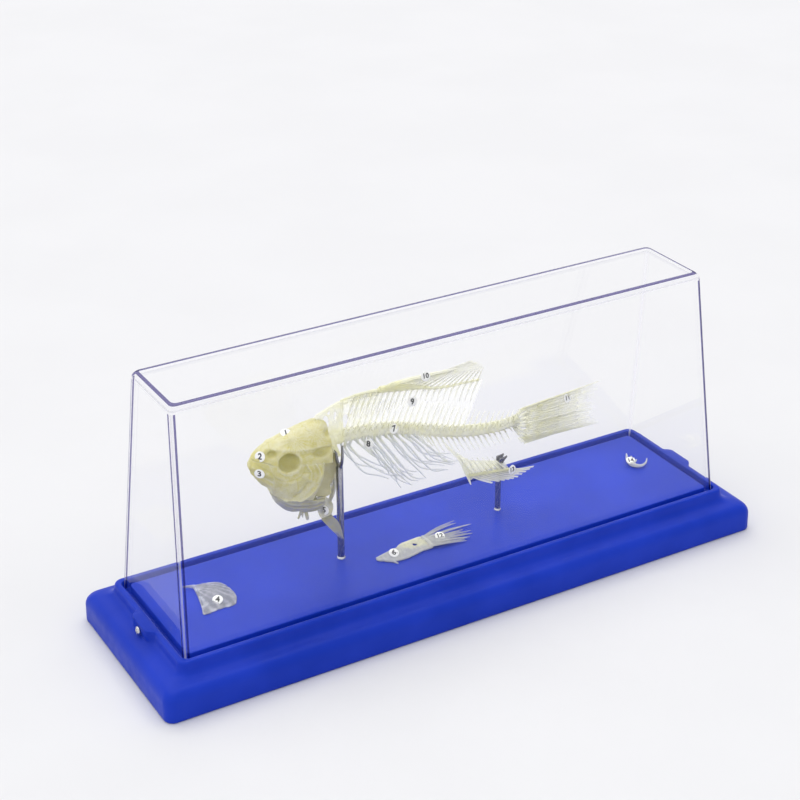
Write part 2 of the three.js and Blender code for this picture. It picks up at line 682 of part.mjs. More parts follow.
function makeAnalFin() {
  const first = [v3(9.4, 1.9, 69.4), v3(14.6, 1.75, 62.6), v3(19, 0.5, 56.6), v3(22.4, 0, 48.6)];
  first.push(v3(25.2, 0, 41));
  const parts = [
    rod(first, [0.6, 0.85, 0.95, 1, 0.4], { steps: 4, sides: 5 }),
    rod([analRoot(0), analRoot(0.5), analRoot(1)], [1, 0.9, 0.6], { steps: 2 }),
  ];
  for (let i = 0; i < 6; i++) {
    const share = i / 5;
    const foot = v3(lerp(19.8, 37.4, share), 0, lerp(57.6, 53.6, share));
    parts.push(rod([foot, analRoot(lerp(0.12, 0.9, share))], [0.5, 0.7], { sides: 3 }));
  }
  for (let i = 0; i < 9; i++) {
    const share = i / 8;
    const tipZ = share < 0.5 ? lerp(40.6, 39.4, share * 2) : lerp(39.4, 43.6, share * 2 - 1);
    const tip = v3(lerp(36, 60.8, Math.pow(share, 0.8)), -3.2 - share, tipZ);
    parts.push(rod([analRoot(lerp(0.08, 0.96, share)), tip], [0.7, 0.35], { sides: 3 }));
  }
  return join(parts);
}

// ---------------------------------------------------------------- right shoulder and fin
function makeShoulderRight() {
  const bow = [v3(-56, 9.6, 82), v3(-50.8, 10.6, 76), v3(-47.4, 9.6, 66), v3(-49, 6.4, 57.6)];
  bow.push(v3(-54.6, 1.4, 53.4));
  return join([
    rod(bow, [0.7, 1, 1.2, 1.3, 1.2], { steps: 5, sides: 5, wide: 0.7 }),
    plateBetween([[-58.2, 0, 55.6], [-53.6, 1.2, 52.6], [-53.6, -1.4, 49.4], [-61.4, -1.4, 48.4]], 1),
  ]);
}

// A thin four-sided plate through four corners, [x, y, z] each.
function plateBetween(corners, thickness) {
  const points = corners.map((c) => v3(...c));
  const normal = points[1].clone().sub(points[0]).cross(points[3].clone().sub(points[0])).normalize();
  const move = (d) => points.map((p) => p.clone().addScaledVector(normal, d));
  return loft([move(-thickness / 2), move(thickness / 2)]);
}

function makeFinRight() {
  const root = (share) => v3(lerp(-60.4, -54, share), -1.9, lerp(47.2, 48.2, share));
  const parts = [rod([root(0), root(1)], [0.7, 0.8])];
  for (let i = 0; i < 6; i++) {
    const share = i / 5;
    const bend = v3(lerp(-57.4, -50.8, share), lerp(-3.6, -4, share), lerp(43, 44.6, share));
    const tip = v3(lerp(-53.8, -49.6, share), -5.2, lerp(38.2, 36.8, share));
    parts.push(rod([root(share), bend, tip], [0.55, 0.5, 0.3], { steps: 2, sides: 3 }));
  }
  return join(parts);
}

// ---------------------------------------------------------------- loose bones on the platform
const REST_Z = FLOOR_Z + 0.05;

// The left gill cover, lying dish side down: a thin domed plate.
function makeLooseGillCover() {
  const outline = [[-122.6, 15.4], [-110.6, 13.2], [-108.6, 5.3], [-108.9, -3.4], [-112.1, -8.5]];
  outline.push([-119.9, -8.8], [-128.4, -9.4], [-125.4, -0.7], [-123.2, 9]);
  const [cx, cy, rise] = [-117, 2, 2.6];
  const layer = (lift, share) => {
    const z = REST_Z + lift + rise * (1 - share * share);
    return outline.map(([x, y]) => v3(lerp(cx, x, share), lerp(cy, y, share), z));
  };
  const shares = [1, 0.72, 0.4];
  const under = [...shares].reverse().map((share) => layer(0, share));
  const over = shares.map((share) => layer(0.8, share));
  return loft([...under, ...over].map((ring) => [...ring].reverse()));
}

// A loose shoulder bone: a low domed blade, [x, near edge y, far edge y, height] along its length.
const LOOSE_SHOULDER_SECTIONS = [
  [-36.2, -9, -7.4, 0.8],
  [-33, -12.6, -6.8, 2.2],
  [-28, -14.8, -5.2, 3.4],
  [-23, -15, -5.4, 3.6],
  [-18, -13.4, -2.8, 3.4],
  [-12, -13, -2, 2.8],
  [-7, -13.2, -2, 2.2],
];

function makeLooseShoulder() {
  const rings = LOOSE_SHOULDER_SECTIONS.map(([x, near, far, height]) => [
    v3(x, near, REST_Z),
    v3(x, far, REST_Z),
    v3(x, lerp(far, near, 0.1), REST_Z + height * 0.7),
    v3(x, lerp(far, near, 0.4), REST_Z + height),
    v3(x, lerp(far, near, 0.85), REST_Z + height * 0.6),
  ]);
  return join([loft(rings), rod([v3(-30, -13.4, REST_Z + 0.6), v3(-28.6, -17, REST_Z + 0.5)], [0.6, 0.4])]);
}

function makeLooseFin() {
  const root = (share) => v3(-5.7, lerp(-13, -2.6, share), REST_Z + 1.4);
  const parts = [rod([root(0), root(1)], [0.9, 0.9])];
  const tips = [[11.4, -15.2], [14, -13.8], [17.8, -9.8], [15, -6.8], [21.4, -3.2], [15.8, 2.9]];
  tips.forEach(([x, y], i) => {
    const share = i / (tips.length - 1);
    const bend = root(share).lerp(v3(x, y, REST_Z + 1.4), 0.5).add(v3(0, share < 0.5 ? -0.6 : 0.4, 0));
    parts.push(rod([root(share), bend, v3(x, y, REST_Z + 0.7)], [0.8, 0.8, 0.35], { steps: 2, sides: 3 }));
  });
  return join(parts);
}

function makeThroatToothBone() {
  const z = REST_Z + 1.3;
  const near = [v3(131.4, 14.2, z + 0.6), v3(128.2, 8.6, z), v3(127.6, 3.4, z)];
  const far = [v3(130.6, 0.2, z), v3(134.6, 1.2, z + 0.3), v3(137.4, 3.8, z + 0.9)];
  const bow = rod([...near, ...far], [0.5, 1.1, 1.3, 0.8, 0.6, 0.35], { steps: 7, sides: 5 });
  const tooth = (y) => rod([v3(127.9, y, z + 0.1), v3(130.9, y + 0.5, z + 1.6)], [0.75, 0.5]);
  return join([bow, tooth(3.9), tooth(6.1), tooth(8.3)]);
}

// ---------------------------------------------------------------- the whole
const FINISH = {
  plastic: { color: 0x1b35bd, roughness: 0.45, metalness: 0 },
  clear: { color: 0xeef0fb, roughness: 0.04, metalness: 0, transparent: true, opacity: 0.25 },
  steel: { color: 0xb9bcc4, roughness: 0.22, metalness: 1 },
  bone: { color: 0xe6e1bd, roughness: 0.45, metalness: 0 },
  skull: { color: 0xd9d08f, roughness: 0.4, metalness: 0 },
  fin: { color: 0xe9e7d6, roughness: 0.5, metalness: 0 },
};

const object = new THREE.Group();
const fish = new THREE.Group();
fish.position.y = FISH_Y;
object.add(fish);

function add(group, name, solid, finish) {
  const mesh = new THREE.Mesh(geometryFrom(solid), new THREE.MeshStandardMaterial(FINISH[finish]));
  mesh.name = name;
  group.add(mesh);
}

add(object, "base", makeBase(), "plastic");
add(object, "cover", makeCover(), "clear");
add(object, "screw_left", makeScrew(-1), "steel");
add(object, "screw_right", makeScrew(1), "steel");
add(fish, "pin_front", makeFrontPin(), "steel");
add(fish, "pin_rear", makeRearPin(), "steel");

for (const [name, solid] of Object.entries(makeHeadParts())) add(fish, name, solid, "skull");
add(fish, "neck", makeNeck(), "bone");
add(fish, "backbone_front", makeBackboneFront(), "bone");
add(fish, "backbone_middle", makeBackboneMiddle(), "bone");
add(fish, "backbone_rear", makeBackboneRear(), "bone");
add(fish, "ribs_left", makeRibCage(-1), "bone");
add(fish, "ribs_right", makeRibCage(1), "bone");
add(fish, "nape_ridge", makeNapeRidge(), "bone");
add(fish, "dorsal_fin", makeDorsalFin(), "bone");
add(fish, "dorsal_fin_spine", makeDorsalSpine(), "bone");
add(fish, "tail_fan", makeTailFan(), "bone");
add(fish, "tail_fin_upper", makeTailLobe(1), "fin");
add(fish, "tail_fin_lower", makeTailLobe(-1), "fin");
add(fish, "anal_fin", makeAnalFin(), "bone");
add(fish, "shoulder_right", makeShoulderRight(), "bone");
add(fish, "pectoral_fin_right", makeFinRight(), "fin");

add(object, "loose_gill_cover", makeLooseGillCover(), "fin");
add(object, "loose_shoulder", makeLooseShoulder(), "bone");
add(object, "loose_pectoral_fin", makeLooseFin(), "fin");
add(object, "loose_tooth_bone", makeThroatToothBone(), "bone");

export default object;
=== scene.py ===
"""A carp skeleton in its display case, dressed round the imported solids.

Lengths in the shape functions are millimetres in the object's own frame: +X towards the fish's tail, +Z up and the
fish's left side towards -Y. Fish bones are measured from the fish's middle plane, which stands FISH_Y behind the
middle of the base. Points become Blender's metres only when a piece is made.
"""

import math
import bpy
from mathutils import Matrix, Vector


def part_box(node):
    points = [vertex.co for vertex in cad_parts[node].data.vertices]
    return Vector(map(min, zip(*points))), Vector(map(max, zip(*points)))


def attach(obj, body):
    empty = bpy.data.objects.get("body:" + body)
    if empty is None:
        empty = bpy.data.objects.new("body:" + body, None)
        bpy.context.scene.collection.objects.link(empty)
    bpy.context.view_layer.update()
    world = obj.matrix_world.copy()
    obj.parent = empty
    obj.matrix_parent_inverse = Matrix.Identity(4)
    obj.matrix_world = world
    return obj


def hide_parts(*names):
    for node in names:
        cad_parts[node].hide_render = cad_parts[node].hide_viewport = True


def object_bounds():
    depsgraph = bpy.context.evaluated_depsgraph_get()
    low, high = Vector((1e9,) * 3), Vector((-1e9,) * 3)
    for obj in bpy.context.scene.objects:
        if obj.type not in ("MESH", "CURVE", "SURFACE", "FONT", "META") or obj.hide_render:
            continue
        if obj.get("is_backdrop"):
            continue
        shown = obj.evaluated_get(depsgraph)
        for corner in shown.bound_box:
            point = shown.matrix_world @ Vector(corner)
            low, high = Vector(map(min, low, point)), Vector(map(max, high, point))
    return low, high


bl_info = {
    "name": "Mounted carp skeleton",
    "version": (1, 0, 0),
    "blender": (4, 5, 0),
    "location": "View3D > Sidebar > Carp skeleton",
    "description": "Makes the bones, display case, labels and stage of a mounted carp skeleton",
    "category": "Object",
}

import bmesh
import bpy
import numpy as np
from bpy.props import FloatProperty, FloatVectorProperty, PointerProperty
from mathutils import Matrix, Vector
from mathutils.bvhtree import BVHTree

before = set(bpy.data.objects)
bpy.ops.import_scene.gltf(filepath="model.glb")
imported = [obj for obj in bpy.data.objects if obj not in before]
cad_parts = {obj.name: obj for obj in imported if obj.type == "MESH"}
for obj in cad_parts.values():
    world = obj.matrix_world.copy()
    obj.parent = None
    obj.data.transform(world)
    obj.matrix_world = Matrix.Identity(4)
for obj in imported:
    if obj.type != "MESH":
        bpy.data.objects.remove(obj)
CAD_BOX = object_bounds()

MM = 0.001  # one millimetre in Blender's metres


def node_box(name):
    """Lowest and highest corner of a CAD node in millimetres."""
    low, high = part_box(name)
    return low / MM, high / MM


# ---------------------------------------------------------------- sizes taken from the frame
BASE_HIGH = node_box("base")[1]
COVER_LOW, COVER_HIGH = node_box("cover")
FISH_Y = sum(node_box("backbone_rear")[i].y for i in (0, 1)) / 2
BASE_HALF = (BASE_HIGH.x, BASE_HIGH.y)
RIM_Z = BASE_HIGH.z
RIM_HALF = (BASE_HALF[0] - 12.2, BASE_HALF[1] - 10.3)
GROOVE_HALF = (RIM_HALF[0] - 2.8, RIM_HALF[1] - 3.0)
FLOOR_HALF = (GROOVE_HALF[0] - 3.6, GROOVE_HALF[1] - 3.6)
FLOOR_Z = RIM_Z - 0.4
GROOVE_Z = FLOOR_Z - 4
COVER_FOOT = (COVER_HIGH.x, COVER_HIGH.y)
COVER_TOP = (143.5, 22.0)
BOSS_OUT = 3.2
BOSS_HALF_WIDTH = 8.5
SCREW_Z = 18.4
REST_Z = FLOOR_Z + 0.05

# The line of the backbone and the line along the bases of the back fin, [x, z] in the middle plane
COLUMN = [(-56, 88.3), (-44, 87.6), (-32, 86.6), (-19, 84.2), (-4.6, 79.6), (6.8, 75.8)]
COLUMN += [(18.4, 72.4), (30, 70.2), (42, 69.2), (49, 69.6), (55, 70.6)]
RIDGE = [(-58.6, 101.6), (-51, 106.4), (-42.8, 108), (-34.7, 108.2), (-26, 107.4), (-15.7, 105.6)]
RIDGE += [(-4.6, 103.2), (4, 100.8), (12.3, 99.8), (20.9, 99.4), (31.6, 98.8)]
VERTEBRAE = 32
COLUMN_START_X, COLUMN_END_X = -48.2, 52.0
PITCH = (COLUMN_END_X - COLUMN_START_X) / VERTEBRAE
RIB_COUNT = 13
MIDDLE_END = 21  # last vertebra of the middle length
FIRST_TAIL_VERTEBRA = 15
SPINE_LEAN = 0.42
LOWER_LEAN = 0.48
TAIL_ROOT_X = 57.6
TAIL_MIDDLE_Z = 66.4

# Midline profile of the head and its half width, from the snout back: [x, top, bottom, half width]
HEAD_SECTIONS = [
    (-96.2, 87.8, 84.4, 1.4),
    (-94.6, 90.4, 81.2, 3.2),
    (-91.4, 93.2, 76.0, 5.2),
    (-87.2, 95.2, 70.6, 7.0),
    (-82.6, 96.8, 62.8, 8.6),
    (-78.0, 98.0, 57.6, 9.6),
    (-72.0, 99.4, 55.8, 10.2),
    (-66.0, 100.6, 53.6, 10.4),
    (-60.0, 101.0, 53.4, 9.8),
    (-55.0, 97.8, 54.6, 8.4),
    (-50.6, 90.0, 57.4, 6.4),
    (-47.0, 78.0, 62.0, 3.8),
]
EYE_X, EYE_Z, EYE_R = -79.8, 87.2, 5.1
NOSTRIL_X, NOSTRIL_Z = -87.3, 92.4


# ---------------------------------------------------------------- settings a user would change
class CaseSettings(bpy.types.PropertyGroup):
    base_colour: FloatVectorProperty(
        name="Base colour",
        description="Colour of the moulded base",
        subtype="COLOR",
        default=(0.003, 0.031, 0.43),
    )
    clear_tint: FloatVectorProperty(
        name="Cover tint",
        description="Colour of light through the clear cover",
        subtype="COLOR",
        default=(0.999, 0.999, 1.0),
    )
    # Painted shade: the tint of the dark lines on the cover's bent edges, standing in for their refraction.
    painted_edge_shade: FloatVectorProperty(
        name="Cover edge tint",
        description="Colour of the cover's bent edges",
        subtype="COLOR",
        default=(0.05, 0.042, 0.16),
    )
    wall: FloatProperty(
        name="Cover wall",
        description="Thickness of the clear cover",
        unit="LENGTH",
        default=2.0 * MM,
        min=1.0 * MM,
    )
    edge_radius: FloatProperty(
        name="Cover edge radius",
        description="Outer radius of the cover's top edges",
        unit="LENGTH",
        default=4.0 * MM,
    )


class BoneSettings(bpy.types.PropertyGroup):
    skull_warm: FloatVectorProperty(
        name="Skull, oily",
        description="Yellow of the oily skull bone",
        subtype="COLOR",
        default=(0.64, 0.59, 0.19),
    )
    skull_pale: FloatVectorProperty(
        name="Skull, dry",
        description="Pale tone of the dry skull bone",
        subtype="COLOR",
        default=(0.74, 0.715, 0.50),
    )
    back_warm: FloatVectorProperty(
        name="Backbone, oily",
        description="Yellowish tone of the backbone",
        subtype="COLOR",
        default=(0.97, 0.96, 0.70),
    )
    back_pale: FloatVectorProperty(
        name="Backbone, dry",
        description="Pale tone of the backbone and fins",
        subtype="COLOR",
        default=(0.98, 0.98, 0.92),
    )
    rib_pale: FloatVectorProperty(
        name="Ribs", description="Pale tone of the ribs", subtype="COLOR", default=(0.84, 0.86, 0.88)
    )
    # Grey of the thin throat bones, partly painted shade of the underside; also the tone of the right shoulder and fin.
    throat_grey_and_shade: FloatVectorProperty(
        name="Throat",
        description="Grey tone of the thin throat bones",
        subtype="COLOR",
        default=(0.53, 0.53, 0.51),
    )
    # Painted shade: the olive that the eye sockets, nostrils and the right gill region are darkened towards.
    hollow_shade_olive: FloatVectorProperty(
        name="Hollows",
        description="Olive of the eye socket and the other hollows",
        subtype="COLOR",
        default=(0.48, 0.44, 0.11),
    )
    rib_radius: FloatProperty(
        name="Rib radius", description="Radius of a rib at its thickest", unit="LENGTH", default=0.52 * MM
    )
    ray_radius: FloatProperty(
        name="Fin ray radius", description="Radius of a fin ray at its root", unit="LENGTH", default=0.36 * MM
    )
    grain: FloatProperty(
        name="Skull grain",
        description="Spacing of the points that the skull is modelled on",
        unit="LENGTH",
        default=0.36 * MM,
    )


class LabelSettings(bpy.types.PropertyGroup):
    diameter: FloatProperty(
        name="Label diameter",
        description="Diameter of the round paper labels",
        unit="LENGTH",
        default=5.0 * MM,
    )
    paper: FloatVectorProperty(
        name="Paper", description="Colour of the label paper", subtype="COLOR", default=(0.95, 0.95, 0.93)
    )
    ink: FloatVectorProperty(
        name="Ink", description="Colour of the numerals", subtype="COLOR", default=(0.015, 0.015, 0.018)
    )


class StageSettings(bpy.types.PropertyGroup):
    floor_colour: FloatVectorProperty(
        name="Floor colour",
        description="Colour of the plain floor",
        subtype="COLOR",
        default=(0.80, 0.80, 0.81),
    )
    sky_strength: FloatProperty(
        name="Fill light", description="Strength of the even light from all round", default=1.0, min=0.0
    )
    lamp_power: FloatProperty(
        name="Lamp strength",
        description="Strength of the soft light from above and behind",
        default=0.85,
        min=0.0,
    )
    lens: FloatProperty(
        name="Lens", description="Focal length of the camera in millimetres", default=80.5, min=20.0
    )
    bearing: FloatProperty(
        name="Bearing",
        description="Turn of the camera's view from +Y towards +X",
        subtype="ANGLE",
        default=math.radians(30.18),
    )
    dip: FloatProperty(
        name="Dip",
        description="Angle of the camera's view below the horizon",
        subtype="ANGLE",
        default=math.radians(27.01),
    )
    roll: FloatProperty(
        name="Roll",
        description="Turn of the picture round the view",
        subtype="ANGLE",
        default=math.radians(-0.25),
    )
    place: FloatVectorProperty(
        name="Camera place",
        description="Where the camera stands",
        subtype="TRANSLATION",
        unit="LENGTH",
        default=(-0.39768, -0.65389, 0.48675),
    )


# ---------------------------------------------------------------- lines and rings
def spread(values, share):
    """The value at a share from 0 to 1 along values that are spread evenly."""
    if not isinstance(values, (list, tuple)):
        return values
    at = min(max(share, 0.0), 1.0) * (len(values) - 1)
    k = min(int(at), len(values) - 2)
    return values[k] + (values[k + 1] - values[k]) * (at - k)


def mix(a, b, share):
    return a + (b - a) * share


def ease(share):
    share = min(max(share, 0.0), 1.0)
    return share * share * (3 - 2 * share)


def smooth_line(points, steps):
    """A smooth curve through points, as steps + 1 points spread evenly in its parameter."""
    given = [Vector(p) for p in points]
    knots = [2 * given[0] - given[1], *given, 2 * given[-1] - given[-2]]
    line = []
    for step in range(steps + 1):
        at = step / steps * (len(given) - 1)
        k = min(int(at), len(given) - 2)
        w = at - k
        a, b, c, d = knots[k : k + 4]
        ta, tb, tc = (max((q - p).length, 1e-6) ** 0.5 for p, q in ((a, b), (b, c), (c, d)))
        leave = ((b - a) / ta - (c - a) / (ta + tb) + (c - b) / tb) * tb
        arrive = ((c - b) / tb - (d - b) / (tb + tc) + (d - c) / tc) * tb
        w2, w3 = w * w, w * w * w
        place = b * (2 * w3 - 3 * w2 + 1) + c * (3 * w2 - 2 * w3)
        line.append(place + leave * (w3 - 2 * w2 + w) + arrive * (w3 - w2))
    return line


def bowed(start, end, shift, steps, share=0.5):
    """A smooth line from start to end, its point at a share of the way moved by shift."""
    return smooth_line([start, start.lerp(end, share) + Vector(shift), end], steps)


def turns(sides):
    """The angles of that many points spread evenly round a circle."""
    return [k * 2 * math.pi / sides for k in range(sides)]


def straight(a, b, steps):
    return [Vector(a).lerp(Vector(b), step / steps) for step in range(steps + 1)]


def midline(points):
    """x and z arrays of a smooth line in the middle plane."""
    line = smooth_line([(x, 0, z) for x, z in points], 240)
    return np.array([p.x for p in line]), np.array([p.z for p in line])


COLUMN_X, COLUMN_HEIGHT = midline(COLUMN)
RIDGE_X, RIDGE_HEIGHT = midline(RIDGE)


def column_z(x):
    return float(np.interp(x, COLUMN_X, COLUMN_HEIGHT))


def ridge_z(x):
    return float(np.interp(x, RIDGE_X, RIDGE_HEIGHT))


def rounded_ring(half, radius, z, arc_steps=10, short_steps=1, boss=0.0):
    """A rounded rectangle about the Z axis. Points close to each bend keep the straight sides flat, and boss
    pushes the middle of both short sides out to the screw bosses' face by that share."""
    support = 0.6
    ring = []
    for corner in range(4):
        sx, sy = (1, -1, -1, 1)[corner], (1, 1, -1, -1)[corner]
        centre = Vector((sx * (half[0] - radius), sy * (half[1] - radius), z))
        arc = []
        for step in range(arc_steps + 1):
            angle = (corner + step / arc_steps) * math.pi / 2
            arc.append(centre + radius * Vector((math.cos(angle), math.sin(angle), 0)))
        before = Vector((math.sin(corner * math.pi / 2), -math.cos(corner * math.pi / 2), 0)) * support
        after = Vector((-math.sin((corner + 1) * math.pi / 2), math.cos((corner + 1) * math.pi / 2), 0)) * support
        ring += [arc[0] + before, *arc, arc[-1] + after]
        if corner in (1, 3):  # along a short side
            reach = half[1] - radius - support
            side = -1 if corner == 1 else 1
            for step in range(1, short_steps):
                y = side * mix(-reach, reach, step / short_steps)
                ring.append(Vector((side * half[0], y, z)))
    face = RIM_HALF[0] + BOSS_OUT
    for point in ring:
        swell = boss * ease((BOSS_HALF_WIDTH + 2.6 - abs(point.y)) / 3.6)
        if abs(point.x) < face and abs(point.x) > half[0] - 0.01:
            point.x += math.copysign((face - abs(point.x)) * swell, point.x)
    return ring


def inset(half, by):
    return (half[0] - by, half[1] - by)


# ---------------------------------------------------------------- meshes
class Mould:
    """Points and faces of one piece in millimetres. Each point has a warmth, from 0 for pale dry bone to 1 for
    yellow oily bone, which on the head is also raised in creases as painted shade, and each face the number of its
    finish."""

    def __init__(self):
        self.points, self.warmth, self.faces, self.finish = [], [], [], []

    def loft(self, rings, warmth=0.0, finish=0, finish_at=None):
        """A skin over rings of equal point counts, capped at both ends. finish_at(ring, point) gives a face's."""
        start, count = len(self.points), len(rings[0])
        for i, ring in enumerate(rings):
            self.points += ring
            self.warmth += [spread(warmth, i / (len(rings) - 1))] * count
        for i in range(len(rings) - 1):
            for j in range(count):
                a, b = start + i * count + j, start + i * count + (j + 1) % count
                self.faces.append((a, b, b + count, a + count))
                self.finish.append(finish_at(i, j) if finish_at else finish)
        last = start + (len(rings) - 1) * count
        self.faces += [tuple(range(start + count - 1, start - 1, -1)), tuple(range(last, last + count))]
        self.finish += [finish, finish]

    def tube(self, line, radii, sides=8, flat=1.0, warmth=0.0, finish=0):
        """A round-ended rod along a line. radii are spread evenly along it, and flat is its thickness across the
        fish as a share of its height."""
        line = [Vector(p) for p in line]
        across = Vector((0, 1, 0))
        if abs((line[1] - line[0]).normalized().y) > 0.9:
            across = Vector((1, 0, 0))
        circle = [(math.cos(t), math.sin(t)) for t in turns(sides)]
        rings = []
        for i, centre in enumerate(line):
            along = (line[min(i + 1, len(line) - 1)] - line[max(i - 1, 0)]).normalized()
            across = (across - along * across.dot(along)).normalized()
            up = along.cross(across)
            radius = spread(radii, i / (len(line) - 1))

            def ring(size, shift):
                at = centre + along * shift
                return [at + across * (size * flat * c) + up * (size * s) for c, s in circle]

            if i == 0:
                rings.append(ring(radius * 0.6, -radius * 0.5))
            rings.append(ring(radius, 0))
            if i == len(line) - 1:
                rings.append(ring(radius * 0.6, radius * 0.5))
        self.loft(rings, warmth, finish)

    def web(self, line_a, line_b, thickness=0.14, warmth=0.0, finish=0):
        """A thin closed sheet between two lines with the same number of points."""
        rings = []
        for i, (a, b) in enumerate(zip(line_a, line_b)):
            a, b = Vector(a), Vector(b)
            off = Vector((0, spread(thickness, i / (len(line_a) - 1)) / 2, 0))
            rings.append([a - off, b - off, b + off, a + off])
        self.loft(rings, warmth, finish)

    def knob(self, centre, radii, warmth=0.0, finish=0, sides=10, rows=7):
        """A small closed ellipsoid."""
        wide, deep, high = radii
        rings = []
        for row in range(1, rows):
            lift, size = -math.cos(row / rows * math.pi), math.sin(row / rows * math.pi)
            offs = [(wide * size * math.cos(t), deep * size * math.sin(t), high * lift) for t in turns(sides)]
            rings.append([Vector(centre) + Vector(off) for off in offs])
        self.loft(rings, warmth, finish)

    def add(self, points, faces, warmth, finish=0):
        start = len(self.points)
        self.points += [Vector(p) for p in points]
        self.warmth += list(warmth)
        self.faces += [tuple(start + k for k in face) for face in faces]
        self.finish += [finish] * len(faces)


def make_piece(name, mould, finishes, nodes, shift=(0, 0, 0), hollow=None):
    """Turns a mould into a piece that rides on the root and stands for its CAD nodes, which it hides."""
    mesh = bpy.data.meshes.new(name)
    mesh.from_pydata([(p + Vector(shift)) * MM for p in mould.points], [], mould.faces)
    for material in finishes:
        mesh.materials.append(material)
    mesh.polygons.foreach_set("material_index", mould.finish)
    mesh.attributes.new("warmth", "FLOAT", "POINT").data.foreach_set("value", mould.warmth)
    if hollow is not None:
        mesh.attributes.new("hollow", "FLOAT", "POINT").data.foreach_set("value", hollow)
    sculpt = bmesh.new()
    sculpt.from_mesh(mesh)
    bmesh.ops.recalc_face_normals(sculpt, faces=sculpt.faces)
    sculpt.to_mesh(mesh)
    sculpt.free()
    mesh.shade_smooth()
    piece = bpy.data.objects.new(name, mesh)
    bpy.context.scene.collection.objects.link(piece)
    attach(piece, "root")
    if nodes:
        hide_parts(*nodes)
    return piece


def fish_piece(name, mould, finishes, nodes, hollow=None):
    return make_piece(name, mould, finishes, nodes, (0, FISH_Y, 0), hollow)


# ---------------------------------------------------------------- clay: bones modelled as a field of distances
FAR = 50.0  # a distance beyond any block of clay


def ring_through(points, smooth):
    """A smooth closed ring through (u, v) points, with that many steps between two of them."""
    closed = [(u, 0, v) for u, v in (points[-1], *points, points[0], points[1])]
    line = smooth_line(closed, (len(closed) - 1) * smooth)[smooth : -smooth - 1]
    return [(p.x, p.z) for p in line]


def gap_to(u, v, a, b):
    """Squared distance from each point (u, v), two arrays, to the straight line from a to b."""
    run, rise = b[0] - a[0], b[1] - a[1]
    share = np.clip(((u - a[0]) * run + (v - a[1]) * rise) / max(run * run + rise * rise, 1e-9), 0, 1)
    return (u - a[0] - share * run) ** 2 + (v - a[1] - share * rise) ** 2


def ring_distance(u, v, ring):
    """Distance from each point (u, v), two arrays, to a closed ring, negative inside it."""
    near = np.full(np.broadcast_shapes(u.shape, v.shape), 1e6, np.float32)
    inside = np.zeros(near.shape, bool)
    for a, b in zip(ring, ring[1:] + ring[:1]):
        near = np.minimum(near, gap_to(u, v, a, b))
        if a[1] != b[1]:
            inside ^= ((a[1] > v) != (b[1] > v)) & (u < (b[0] - a[0]) * (v - a[1]) / (b[1] - a[1]) + a[0])
    return np.where(inside, -np.sqrt(near), np.sqrt(near))


